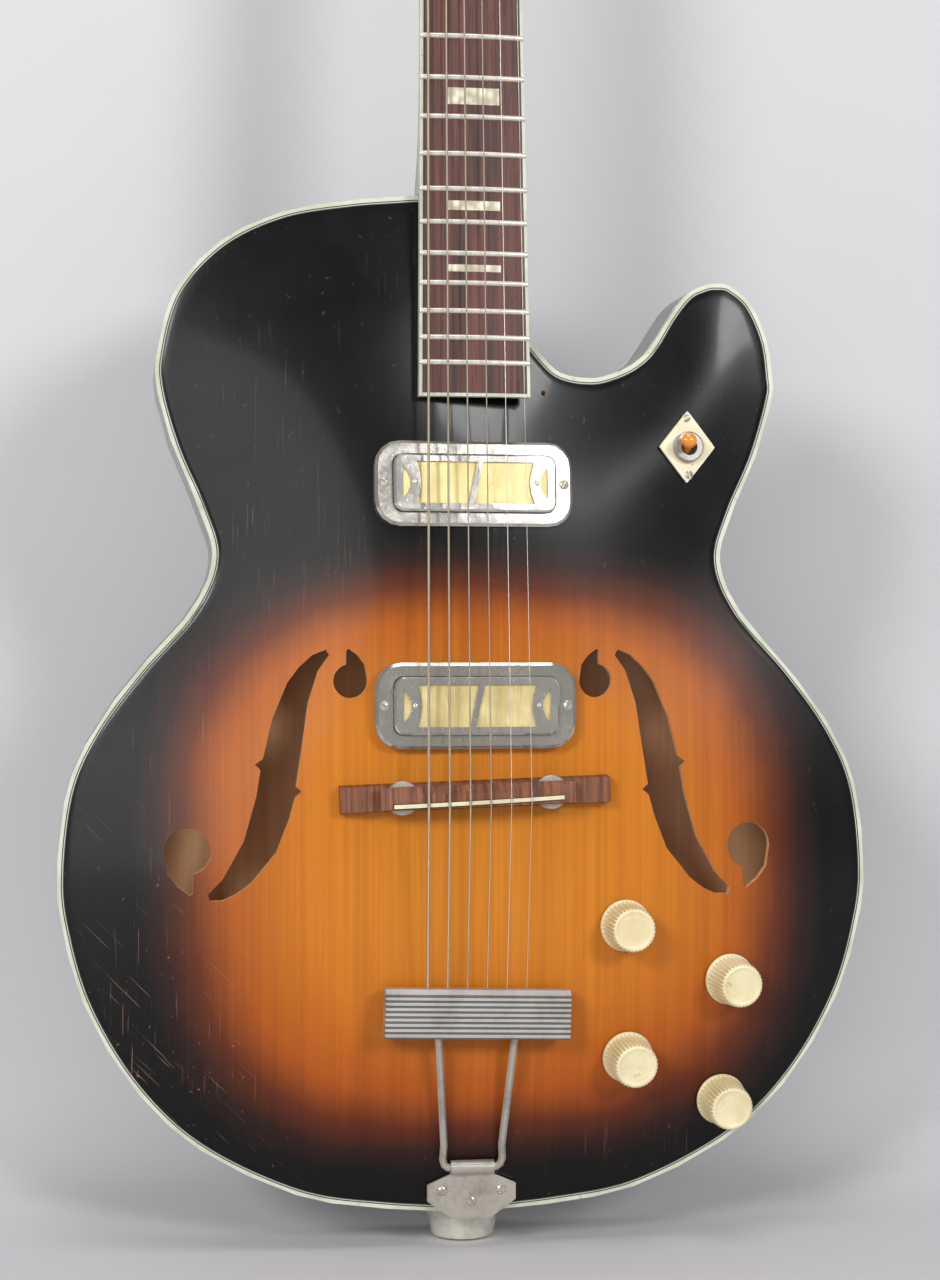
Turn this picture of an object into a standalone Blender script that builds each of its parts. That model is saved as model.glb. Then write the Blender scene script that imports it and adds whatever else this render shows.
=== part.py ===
"""Hollow-body electric guitar with a rounded cutaway, two surface pickups and a trapeze tailpiece.

It stands upright on its end button: X runs from the bass side to the treble side, Z runs up
along the neck, and the strings face -Y. "Height" below is a distance up the body from its lowest
edge, and "rise" is a distance in front of the plane of the rim's front edge.
"""

import math

import bmesh
import bpy
import numpy as np
from mathutils import Matrix, Vector

for old in list(bpy.data.objects):
    bpy.data.objects.remove(old, do_unlink=True)

MM = 0.001
INCH = 25.4 * MM
GAP = 0.3 * MM

# Body
BODY_LENGTH = 495.5 * MM
LOWER_BOUT = 398.4 * MM
WAIST = 250.8 * MM
UPPER_BOUT = 304.0 * MM
RIM_DEPTH = 54.0 * MM
RIM_WALL = 3.0 * MM
LINING_WIDTH = 5.0 * MM
LINING_HEIGHT = 14.0 * MM
TOP_THICKNESS = 4.5 * MM
BACK_THICKNESS = 4.0 * MM
TOP_ARCH = 15.0 * MM
BACK_ARCH = 11.0 * MM
ARCH_REACH = 118.0 * MM
BINDING_WIDTH = 3.0 * MM
BINDING_HEIGHT = 7.0 * MM
BLOCK_LENGTH = 48.0 * MM
BRACE_WIDTH = 6.0 * MM
BRACE_HEIGHT = 9.0 * MM

# Neck, board and strings
SCALE_LENGTH = 648.0 * MM
COMPENSATION = 4.0 * MM
JOINT_FRET = 14
FRETS = 20
JOINT_INSET = 1.8 * MM
BOARD_LENGTH = 460.0 * MM
BOARD_END_WIDTH = 54.1 * MM
NUT_WIDTH = 44.5 * MM
BOARD_THICKNESS = 6.5 * MM
BOARD_RADIUS = 254.0 * MM
JOINT_RISE = 11.954 * MM
NECK_ANGLE = math.radians(3.5)
NECK_THICKNESS = 15.0 * MM
HEEL_HEIGHT = 62.0 * MM
FRET_HEIGHT = 1.0 * MM
FRET_WIDTH = 2.2 * MM
NUT_LENGTH = 5.0 * MM
ACTION_AT_NUT = 1.9 * MM
SADDLE_STRING_RISE = 36.0 * MM
SPREAD_AT_NUT = 39.5 * MM
SPREAD_AT_SADDLE = 49.5 * MM
SPREAD_AT_TAIL = 48.0 * MM
STRING_DIAMETERS = [0.052 * INCH, 0.042 * INCH, 0.032 * INCH, 0.024 * INCH, 0.016 * INCH, 0.012 * INCH]

# Head and tuners
HEAD_ANGLE = math.radians(13.0)
HEAD_LENGTH = 178.0 * MM
HEAD_WIDTH = 66.0 * MM
HEAD_THICKNESS = 14.0 * MM
VENEER_THICKNESS = 2.0 * MM
TUNER_PITCH = 42.0 * MM
FIRST_TUNER = 42.0 * MM
POST_SPACING = 44.0 * MM
POST_RADIUS = 3.1 * MM
POST_HEIGHT = 12.0 * MM
TUNER_PLATE_WIDTH = 15.0 * MM
TUNER_PLATE_THICKNESS = 1.2 * MM
GEAR_RADIUS = 5.6 * MM
GEAR_WIDTH = 4.6 * MM
WORM_RADIUS = 2.4 * MM
SHAFT_RADIUS = 1.7 * MM
BUTTON_RADIUS = 9.0 * MM
BUTTON_LENGTH = 15.0 * MM
BUTTON_FLATNESS = 0.36

# Pickups
BOARD_TO_RING = 21.65 * MM
SADDLE_TO_PICKUP = 42.75 * MM
RING_LENGTH = 97.5 * MM
RING_WIDTH = 41.4 * MM
RING_CORNER = 12.2 * MM
NECK_RING_THICKNESS = 3.0 * MM
BRIDGE_RING_THICKNESS = 7.0 * MM
COVER_LENGTH = 80.0 * MM
COVER_WIDTH = 28.0 * MM
COVER_CORNER = 5.0 * MM
COVER_WALL = 0.8 * MM
COVER_PROUD = 3.4 * MM
COIL_DEPTH = 1.6 * MM
WINDOW_LENGTH = 28.0 * MM
WINDOW_WIDTH = 20.2 * MM

# Bridge
BRIDGE_TURN = math.radians(1.9)
SADDLE_TURN = math.radians(0.9)
BRIDGE_LENGTH = 131.0 * MM
BRIDGE_WIDTH = 13.6 * MM
BRIDGE_BASE_THICKNESS = 6.5 * MM
BRIDGE_TOP_LENGTH = 94.0 * MM
BRIDGE_TOP_WIDTH = 11.0 * MM
SADDLE_LENGTH = 82.0 * MM
SADDLE_WIDTH = 1.8 * MM
SADDLE_PROUD = 1.6 * MM
SADDLE_DEPTH = 1.6 * MM
WHEEL_SPACING = 72.0 * MM
WHEEL_RADIUS = 8.2 * MM
WHEEL_THICKNESS = 2.4 * MM
WHEEL_DROP = 1.0 * MM
STUD_RADIUS = 2.0 * MM
STUD_ABOVE_WHEEL = 1.7 * MM

# Controls
# Each knob's share of the lower bout's half width, and its height
KNOB_PLACES = [(0.373, 140.0 * MM), (0.6411, 112.1 * MM), (0.383, 75.3 * MM), (0.6265, 52.2 * MM)]
KNOB_BASE_RADIUS = 12.6 * MM
KNOB_TOP_RADIUS = 10.6 * MM
KNOB_HEIGHT = 18.0 * MM
KNOB_LIFT = 1.2 * MM
KNOB_BORE_DEPTH = 11.0 * MM
POT_SHAFT_RADIUS = 3.0 * MM
POT_BUSHING_RADIUS = 4.0 * MM
POT_RADIUS = 10.5 * MM
POT_DEPTH = 11.0 * MM
SWITCH_PLACE = (UPPER_BOUT / 2 - 44.9 * MM, BODY_LENGTH - 121.4 * MM)
GUARD_SCREW_PLACE = (36.3 * MM, BODY_LENGTH - 95.4 * MM)
GUARD_SCREW_RADIUS = 1.4 * MM
DRILL_BELOW = 14.0 * MM
DRILL_ABOVE = 6.0 * MM
SWITCH_PLATE_HALF_WIDTH = 14.2 * MM
SWITCH_PLATE_HALF_HEIGHT = 17.6 * MM
SWITCH_PLATE_THICKNESS = 1.6 * MM
SWITCH_NUT_RADIUS = 7.6 * MM
SWITCH_NUT_HEIGHT = 3.0 * MM
SWITCH_BORE_RADIUS = 4.2 * MM
SWITCH_BUSHING_RADIUS = 5.2 * MM
SWITCH_BODY_RADIUS = 8.5 * MM
SWITCH_BODY_DEPTH = 19.0 * MM
LEVER_LEAN = math.radians(16.0)
LEVER_DIRECTION = math.radians(140.0)
LEVER_REACH = 17.0 * MM
LEVER_TIP_RADIUS = 3.9 * MM
LEVER_ROD_RADIUS = 1.5 * MM
JACK_SHARE = 0.341
JACK_BORE_RADIUS = 3.25 * MM
JACK_BARREL_RADIUS = 4.6 * MM
JACK_NUT_RADIUS = 7.5 * MM
JACK_NUT_THICKNESS = 2.2 * MM
JACK_DEPTH = 30.0 * MM

# Tailpiece and end button
BAR_HEIGHT = 100.0 * MM
BAR_TURN = math.radians(-1.6)
BAR_LENGTH = 89.5 * MM
BAR_WIDTH = 23.4 * MM
BAR_BACK_RISE = 19.0 * MM
BAR_THICKNESS = 10.0 * MM
BAR_RIBS = 8
RIB_DEPTH = 0.7 * MM
WIRE_RADIUS = 1.9 * MM
WIRE_HALF_SPREAD_TOP = 19.0 * MM
WIRE_HALF_SPREAD_LOW = 14.2 * MM
WIRE_TOP_RISE = 23.5 * MM
BARREL_LENGTH = 21.2 * MM
BARREL_RADIUS = 3.5 * MM
HINGE_HEIGHT = 23.0 * MM
HINGE_RISE = 7.2 * MM
BRACKET_WIDTH = 43.5 * MM
BRACKET_TOP = 19.9 * MM
BRACKET_CHAMFER = 8.0 * MM
BRACKET_BACK_RISE = 3.1 * MM
BRACKET_THICKNESS = 2.2 * MM
BRACKET_FOLD_WIDTH = 21.0 * MM
BRACKET_FOLD_BACK = 18.0 * MM
BUTTON_TOP_RADIUS = 18.4 * MM
BUTTON_FOOT_RADIUS = 15.5 * MM
BUTTON_HEIGHT = 14.2 * MM
SHANK_RADIUS = 3.5 * MM
SHANK_LENGTH = 20.0 * MM

# F-holes, as points across and up from the saddle's middle, for the bass side
SLOT_OUTER_EDGE = [
    (71.5, 70.0), (77.9, 67.5), (84.4, 61.6), (89.9, 54.3), (97.2, 36.9), (101.8, 17.6), (105.6, 15.0),
    (102.9, 12.4), (105.0, -0.6), (110.9, -21.6), (120.9, -39.7), (127.9, -47.0),
]
SLOT_INNER_EDGE = [
    (127.0, -50.2), (120.9, -50.0), (114.5, -47.1), (107.2, -41.7), (95.4, -27.2), (89.4, -11.7), (86.4, -1.0),
    (83.2, 1.9), (86.0, 4.4), (83.0, 24.0), (80.2, 44.1), (75.2, 59.7), (69.8, 67.4),
]
SLOT_HEIGHT_SHIFT = 0.3
COMMA_LOW = (137.5, -26.7)
COMMA_LOW_RADIUS = 11.1 * MM
COMMA_HIGH = (59.9, 54.6)
COMMA_HIGH_RADIUS = 8.2 * MM
COMMA_TAIL = 1.9

# Outline of the body, from the neck down the bass side: share of the half width, share of the length
BOUT_POINTS = [
    (UPPER_BOUT, 0.395, 0.9935), (UPPER_BOUT, 0.6105, 0.9804), (UPPER_BOUT, 0.801, 0.9508),
    (UPPER_BOUT, 0.942, 0.9023), (UPPER_BOUT, 0.9987, 0.8438), (UPPER_BOUT, 0.9987, 0.805),
    (UPPER_BOUT, 0.945, 0.7471), (WAIST, 1.047, 0.6892), (WAIST, 1.0, 0.6418), (WAIST, 1.081, 0.592),
    (LOWER_BOUT, 0.807, 0.534), (LOWER_BOUT, 0.912, 0.4763), (LOWER_BOUT, 0.976, 0.4186),
    (LOWER_BOUT, 1.0, 0.341), (LOWER_BOUT, 0.988, 0.2838), (LOWER_BOUT, 0.931, 0.2063),
    (LOWER_BOUT, 0.815, 0.128), (LOWER_BOUT, 0.658, 0.0676), (LOWER_BOUT, 0.427, 0.0212),
    (LOWER_BOUT, 0.226, 0.0058),
]
HORN_POINTS = [
    (1.0, 0.8275), (0.9809, 0.8654), (0.9283, 0.8999), (0.8599, 0.9175), (0.8138, 0.9199), (0.773, 0.9179),
    (0.7158, 0.909), (0.6579, 0.887), (0.6007, 0.8581), (0.5553, 0.8426), (0.4862, 0.8303), (0.3954, 0.8232),
    (0.288, 0.8295), (0.2079, 0.8543),
]
LEVEL_TREBLE_POINTS = 5
NECK_HALF_WIDTH = 27.5 * MM
CUTAWAY_SHARE = 0.864

# Places that follow from the sizes above
BODY_FOOT = BUTTON_HEIGHT + BRACKET_THICKNESS + 2 * GAP
HALF_DEPTH = RIM_DEPTH / 2
BODY_TOP = BODY_FOOT + BODY_LENGTH
NUT_Z = BODY_TOP + JOINT_INSET + SCALE_LENGTH * (1 - 2 ** (-JOINT_FRET / 12))
SADDLE_Z = NUT_Z - SCALE_LENGTH - COMPENSATION
BOARD_END_Z = NUT_Z - BOARD_LENGTH
STRING_COUNT = len(STRING_DIAMETERS)


def material(name, colour, roughness, metallic=0.0):
    made = bpy.data.materials.new(name)
    made.use_nodes = True
    shader = made.node_tree.nodes["Principled BSDF"]
    shader.inputs["Base Color"].default_value = (*colour, 1.0)
    shader.inputs["Roughness"].default_value = roughness
    shader.inputs["Metallic"].default_value = metallic
    return made


SUNBURST = material("sunburst spruce", (0.42, 0.17, 0.03), 0.35)
DARK_LACQUER = material("dark lacquered maple", (0.03, 0.025, 0.022), 0.3)
BARE_WOOD = material("bare spruce", (0.55, 0.38, 0.2), 0.7)
CREAM = material("aged cream celluloid", (0.82, 0.76, 0.58), 0.4)
ROSEWOOD = material("rosewood", (0.1, 0.035, 0.022), 0.5)
BONE = material("bone", (0.85, 0.8, 0.66), 0.4)
CHROME = material("worn chrome", (0.75, 0.76, 0.78), 0.15, 1.0)
NICKEL = material("dull nickel", (0.55, 0.54, 0.52), 0.35, 1.0)
PEWTER = material("pewter", (0.42, 0.42, 0.38), 0.45, 1.0)
STEEL = material("string steel", (0.7, 0.7, 0.7), 0.3, 1.0)
GOLD_FOIL = material("brushed gold foil", (0.52, 0.38, 0.14), 0.35, 1.0)
IVORY = material("ivory plastic", (0.86, 0.8, 0.62), 0.35)
AMBER = material("amber plastic", (0.75, 0.22, 0.02), 0.25)


def finish(obj, surface, smooth_angle=30.0):
    """Gives the object its material, faces that point outwards and smooth round sides."""
    obj.data.materials.append(surface)
    obj.data.shade_smooth()
    obj.data.set_sharp_from_angle(angle=math.radians(smooth_angle))
    return obj


def solid(name, vertices, faces, surface, matrix=None):
    """A closed mesh object. The matrix places the object, and its mesh stays in its own frame."""
    bm = bmesh.new()
    made = [bm.verts.new(v) for v in vertices]
    for face in faces:
        bm.faces.new([made[i] for i in face])
    bmesh.ops.recalc_face_normals(bm, faces=bm.faces)
    mesh = bpy.data.meshes.new(name)
    bm.to_mesh(mesh)
    bm.free()
    obj = bpy.data.objects.new(name, mesh)
    bpy.context.scene.collection.objects.link(obj)
    if matrix is not None:
        obj.matrix_world = matrix
    return finish(obj, surface)


def loft(name, sections, surface, matrix=None, closed=False):
    """Skins equal loops of points, with a flat cap at each end unless the row of loops is closed."""
    count = len(sections[0])
    vertices = [point for section in sections for point in section]
    faces = []
    last = len(sections) if closed else len(sections) - 1
    for i in range(last):
        low, high = i * count, (i + 1) % len(sections) * count
        for j in range(count):
            k = (j + 1) % count
            faces.append((low + j, low + k, high + k, high + j))
    if not closed:
        faces.append(tuple(range(count)))
        faces.append(tuple(range(len(vertices) - count, len(vertices))))
    return solid(name, vertices, faces, surface, matrix)


def prism(name, outline, low, high, surface, matrix=None):
    """A flat outline of (x, y) points, pushed from low to high along its own Z."""
    sections = [[(x, y, z) for x, y in outline] for z in (low, high)]
    return loft(name, sections, surface, matrix)


def turned(name, profile, segments, surface, matrix=None):
    """A turned solid about its own Z. A profile point is (radius, z) or (radius, z, flatness)."""
    vertices, rings, faces = [], [], []
    for radius, z, *flat in profile:
        squash = flat[0] if flat else 1.0
        if radius == 0:
            rings.append([len(vertices)])
            vertices.append((0.0, 0.0, z))
            continue
        rings.append(list(range(len(vertices), len(vertices) + segments)))
        for i in range(segments):
            angle = 2 * math.pi * i / segments
            vertices.append((radius * math.cos(angle), squash * radius * math.sin(angle), z))
    for low, high in zip(rings, rings[1:]):
        for i in range(segments):
            j = (i + 1) % segments
            if len(low) == 1:
                faces.append((low[0], high[j], high[i]))
            elif len(high) == 1:
                faces.append((low[i], low[j], high[0]))
            else:
                faces.append((low[i], low[j], high[j], high[i]))
    return solid(name, vertices, faces, surface, matrix)


def tube(name, points, radius, surface, resolution=1):
    """A round wire along the points."""
    curve = bpy.data.curves.new(name, "CURVE")
    curve.dimensions = "3D"
    curve.bevel_depth = radius
    curve.bevel_resolution = resolution
    curve.use_fill_caps = True
    spline = curve.splines.new("POLY")
    spline.points.add(len(points) - 1)
    for point, place in zip(spline.points, points):
        point.co = (*place, 1.0)
    obj = bpy.data.objects.new(name, curve)
    bpy.context.scene.collection.objects.link(obj)
    curve.materials.append(surface)
    return obj


def combine(obj, other, operation):
    """Cuts the other object out of this one, or joins it on. The other stays as a hidden helper."""
    other.hide_render = True
    other.display_type = "WIRE"
    modifier = obj.modifiers.new(f"{operation.lower()} {other.name}", "BOOLEAN")
    modifier.operation = operation
    modifier.solver = "EXACT"
    modifier.object = other


def cut(obj, other):
    combine(obj, other, "DIFFERENCE")


def join(obj, other):
    combine(obj, other, "UNION")


def rounded_rectangle(length, width, corner, steps=4, spans=(1, 1)):
    """Points of a rectangle about the origin with round corners. Spans divide its long and short sides."""
    corners = []
    for turn, (sx, sy) in enumerate(((1, 1), (-1, 1), (-1, -1), (1, -1))):
        arc = []
        for i in range(steps + 1):
            angle = math.pi / 2 * (turn + i / steps)
            arc.append(Vector((
                sx * (length / 2 - corner) + corner * math.cos(angle),
                sy * (width / 2 - corner) + corner * math.sin(angle),
            )))
        corners.append(arc)
    points = []
    for turn, arc in enumerate(corners):
        points += arc
        parts = spans[turn % 2]
        following = corners[(turn + 1) % 4][0]
        points += [arc[-1].lerp(following, i / parts) for i in range(1, parts)]
    return [(point.x, point.y) for point in points]


# Outline and arching


def spline_through(points, steps):
    """A smooth Catmull-Rom curve through the points, with the same number of steps in each span."""
    points = [np.array(p, float) for p in points]
    points = [2 * points[0] - points[1], *points, 2 * points[-1] - points[-2]]
    curve = []
    for a, b, c, d in zip(points, points[1:], points[2:], points[3:]):
        for i in range(steps):
            t = i / steps
            curve.append(0.5 * (2 * b + (c - a) * t + (2 * a - 5 * b + 4 * c - d) * t**2
                                + (3 * b - a - 3 * c + d) * t**3))
    curve.append(points[-2])
    return curve


def thin_out(points, longest, sharpest):
    """Keeps the points where the curve has turned or run far enough since the last one kept."""
    kept, run, turned_by = [points[0]], 0.0, 0.0
    for before, here, after in zip(points, points[1:], points[2:]):
        step, following = here - before, after - here
        run += np.linalg.norm(step)
        cross = step[0] * following[1] - step[1] * following[0]
        turned_by += abs(math.atan2(cross, step @ following))
        if run >= longest or turned_by >= sharpest:
            kept.append(here)
            run, turned_by = 0.0, 0.0
    kept.append(points[-1])
    return kept


def body_outline(longest, sharpest):
    """The body's edge as (x, z) points: down the bass side, up the treble side, round the horn."""
    bass = [(-bout / 2 * share, BODY_FOOT + BODY_LENGTH * up) for bout, share, up in BOUT_POINTS]
    treble = [(-x, z) for x, z in reversed(bass[LEVEL_TREBLE_POINTS:])]
    horn = [(UPPER_BOUT / 2 * share, BODY_FOOT + BODY_LENGTH * up) for share, up in HORN_POINTS]
    route = [(-NECK_HALF_WIDTH, BODY_TOP), *bass, (0.0, BODY_FOOT), *treble, *horn]
    neck_side = BODY_FOOT + BODY_LENGTH * CUTAWAY_SHARE
    curve = thin_out(spline_through([*route, (NECK_HALF_WIDTH, neck_side)], 12), longest, sharpest)
    straight = [(NECK_HALF_WIDTH, (neck_side + BODY_TOP) / 2), (NECK_HALF_WIDTH, BODY_TOP), (0.0, BODY_TOP)]
    return np.array([*curve, *straight])


def inset(outline, distance):
    """The outline moved inwards, with mitred corners."""
    before = outline - np.roll(outline, 1, axis=0)
    after = np.roll(outline, -1, axis=0) - outline
    before /= np.linalg.norm(before, axis=1)[:, None]
    after /= np.linalg.norm(after, axis=1)[:, None]
    normals = np.stack([-before[:, 1] - after[:, 1], before[:, 0] + after[:, 0]], axis=1)
    normals /= np.linalg.norm(normals, axis=1)[:, None]
    lean = np.einsum("ij,ij->i", normals, np.stack([-after[:, 1], after[:, 0]], axis=1))
    return outline + normals * (distance / np.maximum(lean, 0.5))[:, None]


OUTLINE = body_outline(24 * MM, math.radians(8))
FINE_OUTLINE = body_outline(3 * MM, math.radians(8))
FINE_NEXT = np.roll(FINE_OUTLINE, -1, axis=0)
FINE_MIDDLES = (FINE_OUTLINE + FINE_NEXT) / 2
FINE_LENGTHS = np.linalg.norm(FINE_NEXT - FINE_OUTLINE, axis=1)


def arching(x, z):
    """0 at the edge to 1 at the crown, from a distance to the edge that is smooth all over the plate."""
    squares = (FINE_MIDDLES[:, 0] - x) ** 2 + (FINE_MIDDLES[:, 1] - z) ** 2
    nearness = float((FINE_LENGTHS / squares**2).sum())
    share = min((math.pi / 2 / nearness) ** (1 / 3) / ARCH_REACH, 1.0)
    return 0.5 * share**2 * (3 - 2 * share) + 0.5 * math.sin(math.pi / 2 * share)


def top_rise(x, z):
    return TOP_ARCH * arching(x, z)


def surface_frame(x, height, lift=0.0):
    """A frame on the arched top: X to the treble side, Y up the body, Z straight out of the wood."""
    z, step = BODY_FOOT + height, 1 * MM
    rise = top_rise(x, z)
    slope_x = (top_rise(x + step, z) - top_rise(x - step, z)) / (2 * step)
    slope_z = (top_rise(x, z + step) - top_rise(x, z - step)) / (2 * step)
    out = Vector((-slope_x, -1.0, -slope_z)).normalized()
    across = Vector((1.0, -slope_x, 0.0)).normalized()
    up = out.cross(across)
    place = Vector((x, -HALF_DEPTH - rise, z)) + out * lift
    return Matrix((
        (across.x, up.x, out.x, place.x),
        (across.y, up.y, out.y, place.y),
        (across.z, up.z, out.z, place.z),
        (0.0, 0.0, 0.0, 1.0),
    ))


def face_frame(x, z, rise, turn=0.0):
    """A frame square to the rim plane: X to the treble side, Y up the body, Z towards the player."""
    upright = Matrix.Translation((x, -HALF_DEPTH - rise, z)) @ Matrix.Rotation(math.pi / 2, 4, "X")
    return upright @ Matrix.Rotation(turn, 4, "Z")


def board_rise(z, x=0.0):
    """Rise of the fretboard's surface above the rim plane."""
    return JOINT_RISE + math.tan(NECK_ANGLE) * (BODY_TOP - z) - x**2 / (2 * BOARD_RADIUS)


def board_half_width(z):
    share = (z - BOARD_END_Z) / (NUT_Z - BOARD_END_Z)
    return (BOARD_END_WIDTH + share * (NUT_WIDTH - BOARD_END_WIDTH)) / 2


# Body shell


def arched_plate(name, rise_at, face, thickness, surface):
    """A plate within the binding, in rings from its middle to its edge."""
    edge = inset(OUTLINE, BINDING_WIDTH + GAP)
    middle = np.array([0.0, BODY_FOOT + 0.485 * BODY_LENGTH])
    shares = [0.22, 0.45, 0.65, 0.81, 0.92, 0.975, 1.0]
    outer, inner = [], []
    count = len(edge)
    for share in shares:
        for x, z in middle + share * (edge - middle):
            rise = rise_at(x, z) if share < 1 else 0.0
            outer.append((x, face * (HALF_DEPTH + rise), z))
            inner.append((x, face * (HALF_DEPTH + rise - thickness), z))
    crown = rise_at(*middle)
    tips = [(middle[0], face * (HALF_DEPTH + crown), middle[1]),
            (middle[0], face * (HALF_DEPTH + crown - thickness), middle[1])]
    vertices = [*outer, *inner, *tips]
    shift, tip = len(outer), len(outer) + len(inner)
    faces = []
    for j in range(count):
        k = (j + 1) % count
        faces.append((tip, j, k))
        faces.append((tip + 1, shift + k, shift + j))
        for ring in range(len(shares) - 1):
            low, high = ring * count, (ring + 1) * count
            faces.append((low + j, high + j, high + k, low + k))
            faces.append((shift + low + k, shift + high + k, shift + high + j, shift + low + j))
        last = (len(shares) - 1) * count
        faces.append((last + j, shift + last + j, shift + last + k, last + k))
    return solid(name, vertices, faces, surface)


def edge_band(name, section, surface):
    """A band all round the body. The section is a loop of (inset, y) points."""
    rings = [[(x, y, z) for x, z in inset(OUTLINE, distance)] for distance, y in section]
    return loft(name, rings, surface, closed=True)


def back_rise(x, z):
    return BACK_ARCH * arching(x, z)


def cylinder(name, radius, low, high, matrix, segments=16):
    """A round cutter along its own Z."""
    return turned(name, [(0, low), (radius, low), (radius, high), (0, high)], segments, BARE_WOOD, matrix)


top_plate = arched_plate("top_plate", top_rise, -1, TOP_THICKNESS, SUNBURST)
back_plate = arched_plate("back_plate", back_rise, 1, BACK_THICKNESS, DARK_LACQUER)

BINDING_INNER = HALF_DEPTH - BINDING_HEIGHT
SEAT_FRONT = HALF_DEPTH - TOP_THICKNESS - GAP
SEAT_BACK = HALF_DEPTH - BACK_THICKNESS - GAP
LINING_END = HALF_DEPTH - TOP_THICKNESS - LINING_HEIGHT
INNER_FACE = RIM_WALL + LINING_WIDTH
rim = edge_band("rim", [
    (0.0, -BINDING_INNER + GAP), (BINDING_WIDTH + GAP, -BINDING_INNER + GAP), (BINDING_WIDTH + GAP, -SEAT_FRONT),
    (INNER_FACE, -SEAT_FRONT), (RIM_WALL, -LINING_END), (RIM_WALL, LINING_END), (INNER_FACE, SEAT_BACK),
    (BINDING_WIDTH + GAP, SEAT_BACK), (BINDING_WIDTH + GAP, BINDING_INNER - GAP), (0.0, BINDING_INNER - GAP),
], DARK_LACQUER)
for name, face in (("top_binding", -1), ("back_binding", 1)):
    edge_band(name, [(0.0, face * HALF_DEPTH), (BINDING_WIDTH, face * HALF_DEPTH),
                     (BINDING_WIDTH, face * BINDING_INNER), (0.0, face * BINDING_INNER)], CREAM)


def slot_outline(side):
    points = [*SLOT_OUTER_EDGE, *SLOT_INNER_EDGE]
    return [(-side * x * MM, SADDLE_Z + (up - SLOT_HEIGHT_SHIFT) * MM) for x, up in points]


def comma_outline(side, centre, radius, flip):
    """A round hole with one pointed tail. The tail hangs down, or stands up where flip is -1."""
    points = []
    for i in range(13):
        angle = math.radians(-75 + 255 * i / 12)
        points.append((radius * math.cos(angle), radius * math.sin(angle)))
    points += [(-0.86 * radius, -0.95 * radius), (-0.45 * radius, -1.5 * radius),
               (0.1 * radius, -COMMA_TAIL * radius), (0.22 * radius, -1.8 * radius)]
    return [(-side * (centre[0] * MM + flip * -x), SADDLE_Z + centre[1] * MM + flip * y) for x, y in points]


def front_cutter(name, outline):
    """A cutter through the top plate only, from an outline in the plane of the face."""
    sections = [[(x, y, z) for x, z in outline] for y in (-HALF_DEPTH - 2 * TOP_ARCH, -HALF_DEPTH / 3)]
    return loft(name, sections, BARE_WOOD)


for side, word in ((1, "bass"), (-1, "treble")):
    cut(top_plate, front_cutter(f"{word} slot cutter", slot_outline(side)))
    cut(top_plate, front_cutter(f"{word} low comma cutter", comma_outline(side, COMMA_LOW, COMMA_LOW_RADIUS, 1)))
    cut(top_plate, front_cutter(f"{word} high comma cutter", comma_outline(side, COMMA_HIGH, COMMA_HIGH_RADIUS, -1)))


def block(name, left, right, low, high, wall_right, wall_low, wall_high):
    """A glued block between the plates. Each wall flag says that the rim stands against that side."""
    levels = [
        (-1, INNER_FACE - RIM_WALL, top_rise, SEAT_FRONT), (-1, 0.0, None, LINING_END),
        (1, 0.0, None, LINING_END), (1, INNER_FACE - RIM_WALL, back_rise, SEAT_BACK),
    ]
    sections = []
    for face, lining, rise_at, depth in levels:
        x1 = right - (lining if wall_right else 0.0)
        z0 = low + (lining if wall_low else 0.0)
        z1 = high - (lining if wall_high else 0.0)
        corners = [(left, z0), (x1, z0), (x1, z1), (left, z1)]
        sections.append([(x, face * (depth + (rise_at(x, z) - GAP if rise_at else 0.0)), z) for x, z in corners])
    return loft(name, sections, BARE_WOOD)


WALL = RIM_WALL + GAP
neck_block = block("neck_block", -BOARD_END_WIDTH * 0.7, NECK_HALF_WIDTH - WALL, BODY_TOP - WALL - BLOCK_LENGTH,
                   BODY_TOP - WALL - 1 * MM, True, False, True)
end_block = block("end_block", -BRACKET_WIDTH / 2, BRACKET_WIDTH / 2, BODY_FOOT + WALL + 1 * MM,
                  BODY_FOOT + WALL + BLOCK_LENGTH * 0.7, False, True, False)


def tone_bar(name, side):
    """A long brace that follows the underside of the top."""
    sections = []
    for i in range(11):
        share = i / 10
        z = BODY_FOOT + BODY_LENGTH * (0.16 + 0.6 * share)
        x = side * (32 - 6 * share) * MM
        under = [HALF_DEPTH + top_rise(x + s * BRACE_WIDTH / 2, z) - TOP_THICKNESS - 2 * GAP for s in (-1, 1)]
        depth = BRACE_HEIGHT * (0.35 + 0.65 * math.sin(math.pi * share))
        sections.append([
            (x - BRACE_WIDTH / 2, -under[0], z), (x + BRACE_WIDTH / 2, -under[1], z),
            (x + BRACE_WIDTH / 4, -under[1] + depth, z), (x - BRACE_WIDTH / 4, -under[0] + depth, z),
        ])
    return loft(name, sections, BARE_WOOD)


tone_bar("bass_tone_bar", -1)
tone_bar("treble_tone_bar", 1)

# Neck, board and head

HEEL_FACE_Z = BODY_TOP + GAP
HEAD_PIVOT = Vector((0.0, -HALF_DEPTH - board_rise(NUT_Z) + 2.0 * MM, NUT_Z + NUT_LENGTH))
HEAD_FRAME = Matrix.Translation(HEAD_PIVOT) @ Matrix.Rotation(math.pi / 2 - NECK_ANGLE - HEAD_ANGLE, 4, "X")


def neck_section(z, depth, y_top, squareness=1.0):
    """A D-shaped section across the neck, flat under the board."""
    half = board_half_width(z)
    points = []
    for i in range(13):
        angle = math.pi * i / 12
        c, s = math.cos(angle), math.sin(angle)
        x = half * math.copysign(abs(c) ** 0.75, c)
        points.append((x, y_top + depth * s ** (0.85 * squareness), z))
    return points


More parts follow.
